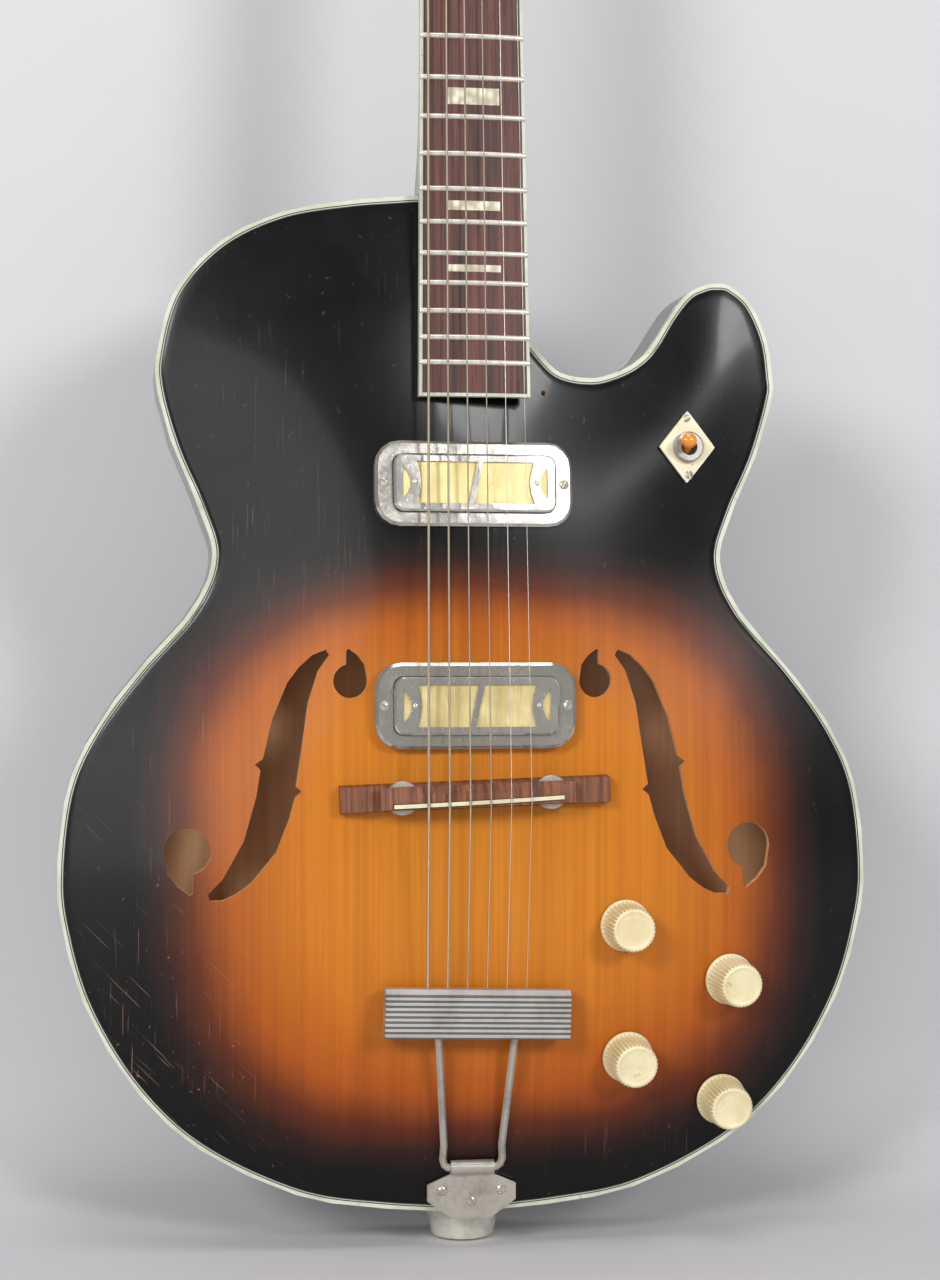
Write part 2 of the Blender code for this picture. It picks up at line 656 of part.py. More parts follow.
def neck_shaft():
    """The heel and the playing length, from the body to just past the nut."""
    sections = []
    heel_depth = HALF_DEPTH + board_rise(HEEL_FACE_Z) - BOARD_THICKNESS + HALF_DEPTH - BINDING_HEIGHT
    stations = [0.0, 0.08, 0.18, 0.3, 0.45, 0.62, 0.8, 1.0]
    levels = [HEEL_FACE_Z + share * HEEL_HEIGHT for share in stations]
    levels += [HEEL_FACE_Z + HEEL_HEIGHT + share * (NUT_Z - HEEL_FACE_Z - HEEL_HEIGHT) for share in (0.35, 0.7, 1.0)]
    levels.append(NUT_Z + NUT_LENGTH + 8 * MM)
    for z in levels:
        share = min((z - HEEL_FACE_Z) / HEEL_HEIGHT, 1.0)
        along = (z - HEEL_FACE_Z) / (NUT_Z - HEEL_FACE_Z)
        plain = NECK_THICKNESS + 2.5 * MM * (1 - along)
        depth = plain + (heel_depth - plain) * (1 - share) ** 2.6
        rise = min(board_rise(z), board_rise(NUT_Z)) if z > NUT_Z else board_rise(z)
        sections.append(neck_section(z, depth, -HALF_DEPTH - rise + BOARD_THICKNESS + GAP, 1.0 - 0.35 * (1 - share)))
    return loft("neck", sections, DARK_LACQUER)


def neck_tongue():
    """The part of the neck that lies on the top, under the end of the board."""
    sections = []
    length = BODY_TOP - BOARD_END_Z
    for i in range(8):
        z = BOARD_END_Z + 2 * MM + (length + 10 * MM) * i / 7
        half = board_half_width(z) - 1 * MM
        top = -HALF_DEPTH - board_rise(z) + BOARD_THICKNESS + 2 * GAP
        under = []
        for j in range(7):
            x = half * (1 - j / 3)
            edge = min(z, BODY_TOP - BINDING_WIDTH)
            nearest = max(top_rise(x, edge + d * MM) for d in (-14, 0, 0 if edge != z else 10))
            under.append((x, -HALF_DEPTH - nearest - 2 * GAP, z))
        sections.append([(-half, top, z), (half, top, z), *under])
    return loft("neck tongue", sections, DARK_LACQUER)


def head_outline(shrink=0.0):
    """The head's face, in its own plane: narrow at the nut, widest near the top, with a plain crown."""
    half = HEAD_WIDTH / 2 - shrink
    nut_half = NUT_WIDTH / 2 + 0.5 * MM - shrink
    top = HEAD_LENGTH - shrink
    right = [(nut_half, 0.0), (nut_half + 2 * MM, 10 * MM), (half * 0.86, 24 * MM), (half * 0.93, 60 * MM),
             (half, top - 26 * MM), (half * 0.99, top - 9 * MM), (half * 0.7, top - 1.5 * MM), (0.0, top)]
    return [*right, *[(-x, y) for x, y in reversed(right[:-1])]]


neck = neck_shaft()
head = prism("head blank", head_outline(), -VENEER_THICKNESS - GAP - HEAD_THICKNESS, -VENEER_THICKNESS - GAP,
             DARK_LACQUER, HEAD_FRAME @ Matrix.Translation((0, 2.4 * MM, 0)))
join(neck, head)
join(neck, neck_tongue())
veneer = prism("head_veneer", head_outline(0.3 * MM), -VENEER_THICKNESS, 0.0, DARK_LACQUER,
               HEAD_FRAME @ Matrix.Translation((0, 1.6 * MM, 0)))


def fret_z(number):
    return NUT_Z - SCALE_LENGTH * (1 - 2 ** (-number / 12))


def fretboard():
    """The cambered board with its frets pressed in, as one solid."""
    stations = [(BOARD_END_Z, 0.0)]
    for number in range(FRETS, 0, -1):
        z = fret_z(number)
        stations += [(z - FRET_WIDTH / 2, 0.0), (z - FRET_WIDTH / 4, FRET_HEIGHT), (z + FRET_WIDTH / 4, FRET_HEIGHT),
                     (z + FRET_WIDTH / 2, 0.0)]
    stations.append((NUT_Z, 0.0))
    sections = []
    for z, lift in stations:
        half = board_half_width(z)
        crown = [half * (1 - 2 * i / 5) for i in range(6)]
        low = -HALF_DEPTH - board_rise(z) + BOARD_THICKNESS
        sections.append([*((x, -HALF_DEPTH - board_rise(z, x) - lift, z) for x in crown), (-half, low, z), (half, low, z)])
    return loft("fretboard", sections, ROSEWOOD)


fretboard()


def string_x(number, spread):
    return spread * (number / (STRING_COUNT - 1) - 0.5)


NUT_STRING_RISE = board_rise(NUT_Z) + ACTION_AT_NUT


def camber(x):
    return x**2 / (2 * BOARD_RADIUS)


def nut():
    """The nut behind the board's end, arched like the strings that cross it."""
    half = NUT_WIDTH / 2
    low = board_rise(NUT_Z) - BOARD_THICKNESS
    thickest = max(STRING_DIAMETERS) / 2
    sections = []
    for z in (NUT_Z + GAP, NUT_Z + NUT_LENGTH):
        xs = [half * (1 - 2 * i / 5) for i in range(6)]
        crown = [(x, -HALF_DEPTH - NUT_STRING_RISE + camber(x) + thickest + GAP, z) for x in xs]
        sections.append([*crown, (-half, -HALF_DEPTH - low, z), (half, -HALF_DEPTH - low, z)])
    return loft("nut", sections, BONE)


nut()

# Tuners, three a side


def head_place(x, along):
    return HEAD_FRAME @ Matrix.Translation((x, along, 0.0))


HEAD_BACK = -VENEER_THICKNESS - GAP - HEAD_THICKNESS
PLATE_LOW = HEAD_BACK - GAP - TUNER_PLATE_THICKNESS
GEAR_TOP = PLATE_LOW - GAP
WORM_LEVEL = GEAR_TOP - GEAR_WIDTH / 2
WORM_OFFSET = GEAR_RADIUS + WORM_RADIUS + GAP
EAR_HALF = WORM_RADIUS + 1.2 * MM


def tuner_place(number):
    """Side (-1 bass, 1 treble) and distance up the head of a string's tuner."""
    side = -1 if number < 3 else 1
    step = number if number < 3 else 5 - number
    return side, FIRST_TUNER + step * TUNER_PITCH


def tuner_plate(name, side):
    """One strip for three tuners, with two ears to carry each worm."""
    x = side * POST_SPACING / 2
    length = 2 * TUNER_PITCH + 34 * MM
    middle = FIRST_TUNER + TUNER_PITCH - WORM_OFFSET / 2
    strip = prism(name, rounded_rectangle(TUNER_PLATE_WIDTH, length, 3 * MM, 2), PLATE_LOW, HEAD_BACK - GAP,
                  NICKEL, head_place(x, middle))
    for step in range(3):
        along = FIRST_TUNER + step * TUNER_PITCH
        cut(strip, cylinder(f"{name} post hole {step}", POST_RADIUS + GAP, PLATE_LOW - 2 * MM, HEAD_BACK + 2 * MM,
                            head_place(x, along), 12))
        for end, word in ((-1, "inner"), (1, "outer")):
            centre = x + side * end * (TUNER_PLATE_WIDTH / 2 - 1.2 * MM)
            ear = prism(f"{name} {word} ear {step}", rounded_rectangle(1.6 * MM, 2 * EAR_HALF, 0.4 * MM, 1),
                        WORM_LEVEL - SHAFT_RADIUS - 1.4 * MM, PLATE_LOW + TUNER_PLATE_THICKNESS / 2, NICKEL,
                        head_place(centre, along - WORM_OFFSET))
            join(strip, ear)
        bore = Matrix.Translation((x, along - WORM_OFFSET, WORM_LEVEL)) @ Matrix.Rotation(math.pi / 2, 4, "Y")
        cut(strip, cylinder(f"{name} shaft hole {step}", SHAFT_RADIUS + GAP, -20 * MM, 20 * MM, HEAD_FRAME @ bore, 12))
    return strip


tuner_plate("tuner_plate_bass", -1)
tuner_plate("tuner_plate_treble", 1)

WORM_HALF = TUNER_PLATE_WIDTH / 2 - 1.2 * MM - 0.8 * MM - GAP
BUTTON_START = HEAD_WIDTH / 2 - POST_SPACING / 2 + 5 * MM
for number in range(STRING_COUNT):
    side, along = tuner_place(number)
    post = head_place(side * POST_SPACING / 2, along)
    turned(f"tuner_post_{number + 1}", [
        (0, GEAR_TOP - GEAR_WIDTH), (GEAR_RADIUS, GEAR_TOP - GEAR_WIDTH), (GEAR_RADIUS, GEAR_TOP), (POST_RADIUS, GEAR_TOP),
        (POST_RADIUS, POST_HEIGHT - 0.8 * MM), (POST_RADIUS - 0.8 * MM, POST_HEIGHT), (0, POST_HEIGHT),
    ], 16, NICKEL, post)
    cut(neck, cylinder(f"post hole {number + 1}", POST_RADIUS + GAP, -30 * MM, 10 * MM, post, 16))
    cut(veneer, bpy.data.objects[f"post hole {number + 1}"])
    turn = Matrix.Rotation(side * math.pi / 2, 4, "Y")
    worm = Matrix.Translation((side * POST_SPACING / 2, along - WORM_OFFSET, WORM_LEVEL)) @ turn
    turned(f"tuner_button_{number + 1}", [
        (0, -TUNER_PLATE_WIDTH / 2), (SHAFT_RADIUS, -TUNER_PLATE_WIDTH / 2), (SHAFT_RADIUS, -WORM_HALF),
        (WORM_RADIUS, -WORM_HALF), (WORM_RADIUS, WORM_HALF), (SHAFT_RADIUS, WORM_HALF), (SHAFT_RADIUS, BUTTON_START),
        (BUTTON_RADIUS * 0.6, BUTTON_START, BUTTON_FLATNESS),
        (BUTTON_RADIUS, BUTTON_START + BUTTON_LENGTH * 0.4, BUTTON_FLATNESS),
        (BUTTON_RADIUS * 0.92, BUTTON_START + BUTTON_LENGTH * 0.8, BUTTON_FLATNESS),
        (BUTTON_RADIUS * 0.6, BUTTON_START + BUTTON_LENGTH, BUTTON_FLATNESS * 0.8), (0, BUTTON_START + BUTTON_LENGTH),
    ], 14, IVORY, HEAD_FRAME @ worm)

# Pickups, screwed on top of the wood


def conform(obj, gap):
    """Brings the points of the mesh that lie at its own Z = 0 down to the arched top."""
    for vertex in obj.data.vertices:
        if abs(vertex.co.z) > 1e-6:
            continue
        for _ in range(3):
            world = obj.matrix_world @ vertex.co
            vertex.co.z += world.y + HALF_DEPTH + top_rise(world.x, world.z) + gap


def pickup(prefix, height, ring_thickness):
    place = surface_frame(0.0, height)
    outer = rounded_rectangle(RING_LENGTH, RING_WIDTH, RING_CORNER, 4, (6, 3))
    shoulder = rounded_rectangle(RING_LENGTH - 3 * MM, RING_WIDTH - 3 * MM, RING_CORNER - 1.5 * MM, 4, (6, 3))
    hole = rounded_rectangle(COVER_LENGTH + 2 * GAP, COVER_WIDTH + 2 * GAP, COVER_CORNER, 4, (6, 3))
    ring = loft(f"{prefix}_pickup_ring", [
        [(x, y, 0.0) for x, y in outer], [(x, y, ring_thickness - 1.2 * MM) for x, y in outer],
        [(x, y, ring_thickness) for x, y in shoulder], [(x, y, ring_thickness) for x, y in hole],
        [(x, y, 0.0) for x, y in hole],
    ], CHROME, place, closed=True)
    conform(ring, GAP)
    top = ring_thickness + COVER_PROUD
    foot = 1.2 * MM
    cover = loft(f"{prefix}_pickup_cover", [
        [(x, y, z) for x, y in rounded_rectangle(COVER_LENGTH - 2 * shrink, COVER_WIDTH - 2 * shrink, COVER_CORNER - shrink)]
        for shrink, z in ((0.0, foot), (0.0, top - 1 * MM), (1 * MM, top), (1.4 * MM, top))
    ], CHROME, place)
    cavity = prism(f"{prefix} cover cavity", rounded_rectangle(COVER_LENGTH - 2 * COVER_WALL, COVER_WIDTH - 2 * COVER_WALL,
                   COVER_CORNER - COVER_WALL), foot - 2 * MM, top - COVER_WALL - 0.2 * MM, CHROME, place)
    cut(cover, cavity)
    for side, word in ((-1, "bass"), (1, "treble")):
        window = prism(f"{prefix} {word} window", window_outline(side), foot, top + 2 * MM, CHROME, place)
        crescent = prism(f"{prefix} {word} crescent", crescent_outline(side), foot, top + 2 * MM, CHROME, place)
        cut(cover, window)
        cut(cover, crescent)
    coil_top = top - COVER_WALL - 0.2 * MM - GAP
    coil_half = (COVER_LENGTH / 2 - COVER_WALL - GAP, COVER_WIDTH / 2 - COVER_WALL - GAP)
    prism(f"{prefix}_pickup_coil", rounded_rectangle(2 * coil_half[0], 2 * coil_half[1], COVER_CORNER - COVER_WALL - GAP, 2),
          foot, coil_top, GOLD_FOIL, place)


def window_outline(side):
    """A foil window: a leaning inner end, and an outer end that curves round the rivet."""
    half = WINDOW_WIDTH / 2
    inner_low, inner_high = 1.4 * MM - side * 2.2 * MM, 1.4 * MM + side * 2.2 * MM
    points = [(inner_low, -half), (WINDOW_LENGTH + 1 * MM, -half)]
    points += [(WINDOW_LENGTH + 1 * MM - 2.2 * MM * math.sin(math.pi * i / 4), -half + WINDOW_WIDTH * i / 4) for i in (1, 2, 3)]
    points += [(WINDOW_LENGTH + 1 * MM, half), (inner_high, half)]
    return [(side * x, y) for x, y in points]


def crescent_outline(side):
    half = WINDOW_WIDTH * 0.4
    points = [(COVER_LENGTH / 2 - 4.4 * MM, -half), (COVER_LENGTH / 2 - 4.4 * MM, half)]
    points += [(COVER_LENGTH / 2 - 5.2 * MM - 3.2 * MM * math.sin(math.pi * i / 5), half - 2 * half * i / 5) for i in (1, 2, 3, 4)]
    return [(side * x, y) for x, y in points]


pickup("neck", BOARD_END_Z - BOARD_TO_RING - RING_WIDTH / 2 - BODY_FOOT, NECK_RING_THICKNESS)
pickup("bridge", SADDLE_Z + SADDLE_TO_PICKUP - BODY_FOOT, BRIDGE_RING_THICKNESS)

# Bridge

BRIDGE_SEAT = top_rise(0.0, SADDLE_Z)
WHEEL_LOW = BRIDGE_SEAT + BRIDGE_BASE_THICKNESS + WHEEL_DROP + 2 * GAP
BRIDGE_FRAME = face_frame(0.0, SADDLE_Z, 0.0, BRIDGE_TURN)


def bridge_base():
    """A rosewood foot fitted to the arched top, with the two threaded studs that carry the wheels."""
    sections = []
    half = BRIDGE_LENGTH / 2
    for i in range(13):
        x = half * (i / 6 - 1)
        thick = BRIDGE_BASE_THICKNESS + (2.2 * MM if abs(x) > BRIDGE_TOP_LENGTH / 2 + 1 * MM else 0.0)
        corners = []
        for y in (-BRIDGE_WIDTH / 2, BRIDGE_WIDTH / 2):
            world = BRIDGE_FRAME @ Vector((x, y, 0.0))
            corners.append((x, y, top_rise(world.x, world.z) + GAP))
        top = BRIDGE_SEAT + thick - 6 * MM * (x / half) ** 2 * 0.3
        sections.append([*corners, (x, BRIDGE_WIDTH / 2 - 0.8 * MM, top), (x, -BRIDGE_WIDTH / 2 + 0.8 * MM, top)])
    base = loft("bridge_base", sections, ROSEWOOD, BRIDGE_FRAME)
    for side, word in ((-1, "bass"), (1, "treble")):
        stud = cylinder(f"{word} stud", STUD_RADIUS, BRIDGE_SEAT + 2 * MM, WHEEL_LOW + WHEEL_THICKNESS + STUD_ABOVE_WHEEL,
                        BRIDGE_FRAME @ Matrix.Translation((side * WHEEL_SPACING / 2, 0, 0)), 12)
        join(base, stud)
    return base


bridge_base()
for side, word in ((-1, "bass"), (1, "treble")):
    inner, outer = STUD_RADIUS + GAP, WHEEL_RADIUS
    wheel = turned(f"{word}_thumbwheel", [
        (0, 0.0), (outer - 0.4 * MM, 0.0), (outer, 0.4 * MM), (outer, WHEEL_THICKNESS - 0.4 * MM),
        (outer - 0.4 * MM, WHEEL_THICKNESS), (0, WHEEL_THICKNESS),
    ], 24, NICKEL, BRIDGE_FRAME @ Matrix.Translation((side * WHEEL_SPACING / 2, 0, WHEEL_LOW)))
    cut(wheel, cylinder(f"{word} wheel bore", inner, -2 * MM, WHEEL_THICKNESS + 2 * MM, wheel.matrix_world.copy(), 12))

TOP_LOW = WHEEL_LOW + WHEEL_THICKNESS + GAP
STRING_UNDERSIDE = SADDLE_STRING_RISE - max(STRING_DIAMETERS) / 2 - GAP
TOP_HIGH = STRING_UNDERSIDE - SADDLE_PROUD
SADDLE_FRAME = BRIDGE_FRAME @ Matrix.Rotation(SADDLE_TURN, 4, "Z")
SADDLE_SHIFT = -BRIDGE_TOP_WIDTH / 2 + 2.6 * MM


def bridge_top():
    """The upper half of the bridge, with sloping ends and a sloping front, and a groove for the saddle."""
    long_half, short_half = BRIDGE_TOP_LENGTH / 2, SADDLE_LENGTH / 2 + 1.5 * MM
    width = BRIDGE_TOP_WIDTH / 2
    shoulder = TOP_LOW + 2.6 * MM
    sections = []
    for x in [-long_half, *(short_half * (i / 4 - 1) for i in range(9)), long_half]:
        inner = abs(x) < long_half
        high = TOP_HIGH - camber(x) if inner else shoulder + 0.6 * MM
        back = -width + (0.6 * MM if inner else 0.2 * MM)
        front = width - (4.2 * MM if inner else 0.4 * MM)
        sections.append([(x, -width, TOP_LOW), (x, width, TOP_LOW), (x, width, shoulder), (x, front, high),
                         (x, back, high), (x, -width, shoulder)])
    piece = loft("bridge_top", sections, ROSEWOOD, BRIDGE_FRAME)
    for side, word in ((-1, "bass"), (1, "treble")):
        cut(piece, cylinder(f"{word} stud socket", STUD_RADIUS + GAP, TOP_LOW - 1 * MM,
                            WHEEL_LOW + WHEEL_THICKNESS + STUD_ABOVE_WHEEL + WHEEL_DROP + GAP,
                            BRIDGE_FRAME @ Matrix.Translation((side * WHEEL_SPACING / 2, 0, 0)), 12))
    groove = rounded_rectangle(SADDLE_LENGTH + 2 * GAP, SADDLE_WIDTH + 2 * GAP, 0.4 * MM, 1)
    cut(piece, prism("saddle groove", groove, TOP_HIGH - SADDLE_DEPTH - GAP - camber(SADDLE_LENGTH / 2), TOP_HIGH + 6 * MM,
                     ROSEWOOD, SADDLE_FRAME @ Matrix.Translation((0, SADDLE_SHIFT, 0))))
    return piece


def saddle():
    half = SADDLE_LENGTH / 2
    xs = [half * (i / 4 - 1) for i in range(9)]
    low = TOP_HIGH - SADDLE_DEPTH - camber(half)
    sections = []
    for y in (-SADDLE_WIDTH / 2, SADDLE_WIDTH / 2):
        sections.append([(-half, y, low), (half, y, low), *((x, y, STRING_UNDERSIDE - camber(x)) for x in reversed(xs))])
    return loft("saddle", sections, BONE, SADDLE_FRAME @ Matrix.Translation((0, SADDLE_SHIFT, 0)))


bridge_top()
saddle()

# Controls

for number, (share, height) in enumerate(KNOB_PLACES, 1):
    x = LOWER_BOUT / 2 * share
    place = surface_frame(x, height)
    shaft_top = KNOB_LIFT + KNOB_BORE_DEPTH - GAP
    turned(f"knob_{number}", [
        (0, KNOB_BORE_DEPTH), (POT_SHAFT_RADIUS + GAP, KNOB_BORE_DEPTH), (POT_SHAFT_RADIUS + GAP, 0), (KNOB_BASE_RADIUS, 0),
        (KNOB_BASE_RADIUS, 1.2 * MM), (KNOB_TOP_RADIUS, KNOB_HEIGHT - 1 * MM), (KNOB_TOP_RADIUS - 1 * MM, KNOB_HEIGHT),
        (0, KNOB_HEIGHT),
    ], 28, IVORY, place @ Matrix.Translation((0, 0, KNOB_LIFT)))
    low = -TOP_THICKNESS - 3 * GAP
    turned(f"pot_{number}", [
        (0, low - POT_DEPTH), (POT_RADIUS, low - POT_DEPTH), (POT_RADIUS, low), (POT_BUSHING_RADIUS, low),
        (POT_BUSHING_RADIUS, 0.6 * MM), (POT_SHAFT_RADIUS, 0.6 * MM), (POT_SHAFT_RADIUS, shaft_top), (0, shaft_top),
    ], 14, NICKEL, place)
    cut(top_plate, cylinder(f"pot hole {number}", POT_BUSHING_RADIUS + GAP, -DRILL_BELOW, DRILL_ABOVE, place, 14))

SWITCH_FRAME = surface_frame(*SWITCH_PLACE)
plate_low, plate_high = GAP, GAP + SWITCH_PLATE_THICKNESS
corner = 0.86
half_w, half_h = SWITCH_PLATE_HALF_WIDTH, SWITCH_PLATE_HALF_HEIGHT
diamond = []
for cx, cy in ((half_w, 0), (0, half_h), (-half_w, 0), (0, -half_h)):
    tx, ty = (-cy * half_w / half_h, cx * half_h / half_w)
    for t in (-1, 0, 1):
        pull = 1 - (1 - corner) * abs(t) * 0.9
        diamond.append((cx * pull + t * (1 - corner) * tx, cy * pull + t * (1 - corner) * ty))
switch_plate = prism("switch_plate", diamond, plate_low, plate_high, IVORY, SWITCH_FRAME)
nut_low = plate_high + GAP
body_low = -TOP_THICKNESS - 3 * GAP
turned("switch_body", [
    (0, -3.6 * MM), (SWITCH_BORE_RADIUS, -3.6 * MM), (SWITCH_BORE_RADIUS, nut_low + SWITCH_NUT_HEIGHT),
    (SWITCH_NUT_RADIUS - 0.8 * MM, nut_low + SWITCH_NUT_HEIGHT), (SWITCH_NUT_RADIUS, nut_low + SWITCH_NUT_HEIGHT - 0.8 * MM),
    (SWITCH_NUT_RADIUS, nut_low), (SWITCH_BUSHING_RADIUS, nut_low), (SWITCH_BUSHING_RADIUS, body_low),
    (SWITCH_BODY_RADIUS, body_low), (SWITCH_BODY_RADIUS, body_low - SWITCH_BODY_DEPTH), (0, body_low - SWITCH_BODY_DEPTH),
], 20, NICKEL, SWITCH_FRAME)
switch_hole = cylinder("switch hole", SWITCH_BUSHING_RADIUS + GAP, -DRILL_BELOW, DRILL_ABOVE, SWITCH_FRAME, 20)
cut(top_plate, switch_hole)
cut(switch_plate, switch_hole)
lean_axis = Vector((-math.sin(LEVER_DIRECTION), math.cos(LEVER_DIRECTION), 0.0))
LEVER_FRAME = SWITCH_FRAME @ Matrix.Translation((0, 0, -0.4 * MM)) @ Matrix.Rotation(LEVER_LEAN, 4, lean_axis)
turned("switch_lever", [
    (0, -2.6 * MM), (2.6 * MM, -1.4 * MM), (2.9 * MM, 0), (2.2 * MM, 1.6 * MM), (LEVER_ROD_RADIUS, 2.6 * MM),
    (LEVER_ROD_RADIUS, LEVER_REACH - 10 * MM), (LEVER_TIP_RADIUS * 0.62, LEVER_REACH - 9.6 * MM),
    (LEVER_TIP_RADIUS * 0.8, LEVER_REACH - 6 * MM), (LEVER_TIP_RADIUS, LEVER_REACH - 3 * MM),
    (LEVER_TIP_RADIUS * 0.85, LEVER_REACH - 1 * MM), (LEVER_TIP_RADIUS * 0.4, LEVER_REACH), (0, LEVER_REACH),
], 14, AMBER, LEVER_FRAME)

jack_z = BODY_FOOT + BODY_LENGTH * JACK_SHARE
JACK_FRAME = Matrix.Translation((LOWER_BOUT / 2, 0.0, jack_z)) @ Matrix.Rotation(math.pi / 2, 4, "Y")
jack_nut = GAP + JACK_NUT_THICKNESS
inner_nut = -RIM_WALL - 3 * GAP
turned("output_jack", [
    (0, -JACK_DEPTH + 1.5 * MM), (JACK_BORE_RADIUS, -JACK_DEPTH + 1.5 * MM), (JACK_BORE_RADIUS, jack_nut + 1 * MM),
    (JACK_BARREL_RADIUS, jack_nut + 1 * MM), (JACK_BARREL_RADIUS, jack_nut), (JACK_NUT_RADIUS, jack_nut),
    (JACK_NUT_RADIUS, GAP), (JACK_BARREL_RADIUS, GAP), (JACK_BARREL_RADIUS, inner_nut), (JACK_NUT_RADIUS, inner_nut),
    (JACK_NUT_RADIUS, inner_nut - 3 * MM), (JACK_BARREL_RADIUS, inner_nut - 3 * MM), (JACK_BARREL_RADIUS, -JACK_DEPTH),
    (0, -JACK_DEPTH),
], 18, NICKEL, JACK_FRAME)
cut(rim, cylinder("jack hole", JACK_BARREL_RADIUS + GAP, -DRILL_BELOW, DRILL_ABOVE, JACK_FRAME, 18))
guard_frame = surface_frame(*GUARD_SCREW_PLACE)
cut(top_plate, cylinder("guard screw hole", GUARD_SCREW_RADIUS, -DRILL_BELOW, DRILL_ABOVE, guard_frame, 10))

# Tailpiece

shank_hole = cylinder("shank hole", SHANK_RADIUS + GAP, 5 * MM, BODY_FOOT + SHANK_LENGTH + GAP, Matrix(), 16)
HINGE = Vector((0.0, -HALF_DEPTH - HINGE_RISE, BODY_FOOT + HINGE_HEIGHT))
BAR_FRAME = face_frame(0.0, BODY_FOOT + BAR_HEIGHT, BAR_BACK_RISE, BAR_TURN)


def tailpiece_bar():
    """The string bar, with ribs along its face and a folded upper edge."""
    half = BAR_WIDTH / 2
    face = [(half, 0.0), (half, BAR_THICKNESS - 2.6 * MM), (half - 2.2 * MM, BAR_THICKNESS)]
    rib = (BAR_WIDTH - 3.4 * MM) / BAR_RIBS
    for i in range(BAR_RIBS):
        start = half - 2.6 * MM - rib * i
        face += [(start, BAR_THICKNESS - RIB_DEPTH), (start - 0.3 * rib, BAR_THICKNESS - RIB_DEPTH),
                 (start - 0.4 * rib, BAR_THICKNESS), (start - 0.9 * rib, BAR_THICKNESS)]
    face += [(-half, BAR_THICKNESS - RIB_DEPTH), (-half, 0.0)]
    sections = [[(x, y, z) for y, z in face] for x in (-BAR_LENGTH / 2, BAR_LENGTH / 2)]
    bar = loft("tailpiece_bar", sections, NICKEL, BAR_FRAME)
    for side, word in ((-1, "bass"), (1, "treble")):
        end, start = wire_end(side), wire_start(side)
        along = (end - start).normalized()
        bore = Matrix.Translation(end) @ along.to_track_quat("Z", "Y").to_matrix().to_4x4()
        cut(bar, cylinder(f"{word} wire socket", WIRE_RADIUS + GAP, -20 * MM, GAP, bore, 12))
    return bar


def wire_start(side):
    low = BODY_FOOT + HINGE_HEIGHT + 11 * MM
    return Vector((side * WIRE_HALF_SPREAD_LOW, -HALF_DEPTH - HINGE_RISE - 2 * MM, low))


def wire_end(side):
    top = BODY_FOOT + BAR_HEIGHT - BAR_WIDTH / 2 + 6 * MM
    return Vector((side * WIRE_HALF_SPREAD_TOP, -HALF_DEPTH - WIRE_TOP_RISE, top))


def tailpiece_wire():
    """One bent wire: up both sides of the bracket, with its middle turning in the barrel."""
    route = []
    for side in (-1, 1):
        knee = wire_start(side)
        corner = HINGE + Vector((side * (BARREL_LENGTH / 2 + WIRE_RADIUS + 1.6 * MM), 0, 0))
        leg = [wire_end(side), knee.lerp(wire_end(side), 0.5), knee, knee.lerp(corner, 0.6) + Vector((side * 0.5 * MM, 0, 0)),
               corner + Vector((-side * 0.4 * MM, 0, 1.4 * MM)), HINGE + Vector((side * (BARREL_LENGTH / 2 + 1.4 * MM), 0, 0.1 * MM)),
               HINGE + Vector((side * BARREL_LENGTH / 2, 0, 0))]
        route += leg if side < 0 else reversed(leg)
    return tube("tailpiece_wire", route, WIRE_RADIUS, NICKEL, 2)


def tailpiece_bracket():
    """The eight-sided plate on the top, its fold down the end of the body, and the hinge barrel."""
    half, chamfer = BRACKET_WIDTH / 2, BRACKET_CHAMFER
    low, high = -1.6 * MM, BRACKET_TOP
    octagon = [(half, low + chamfer), (half, high - chamfer * 0.7), (half - chamfer * 1.6, high), (-half + chamfer * 1.6, high),
               (-half, high - chamfer * 0.7), (-half, low + chamfer), (-BRACKET_FOLD_WIDTH / 2, low), (BRACKET_FOLD_WIDTH / 2, low)]
    front = BRACKET_BACK_RISE + BRACKET_THICKNESS
    plate = prism("tailpiece_bracket", octagon, 0.0, BRACKET_THICKNESS, NICKEL,
                  face_frame(0.0, BODY_FOOT, BRACKET_BACK_RISE))
    fold = [(-BRACKET_FOLD_WIDTH / 2, -BRACKET_THICKNESS - GAP), (BRACKET_FOLD_WIDTH / 2, -BRACKET_THICKNESS - GAP),
            (BRACKET_FOLD_WIDTH / 2, -GAP), (-BRACKET_FOLD_WIDTH / 2, -GAP)]
    folded = prism("bracket fold", fold, BRACKET_FOLD_BACK / 2 - RIM_DEPTH, front - 0.4 * MM, NICKEL,
                   face_frame(0.0, BODY_FOOT, 0.0))
    cut(folded, shank_hole)
    join(plate, folded)
    tab = [(-BARREL_LENGTH / 2, high - 4 * MM), (BARREL_LENGTH / 2, high - 4 * MM), (BARREL_LENGTH / 2, HINGE_HEIGHT),
           (-BARREL_LENGTH / 2, HINGE_HEIGHT)]
    join(plate, prism("bracket tab", tab, 0.1 * MM, 1.1 * MM, NICKEL, face_frame(0.0, BODY_FOOT, BRACKET_BACK_RISE)))
    across = Matrix.Translation(HINGE) @ Matrix.Rotation(math.pi / 2, 4, "Y")
    join(plate, cylinder("bracket barrel", BARREL_RADIUS, -BARREL_LENGTH / 2, BARREL_LENGTH / 2, across, 20))
    cut(plate, cylinder("barrel bore", WIRE_RADIUS + GAP, -BARREL_LENGTH, BARREL_LENGTH, across, 16))
    return plate


tailpiece_bracket()
tailpiece_bar()
tailpiece_wire()

# End button

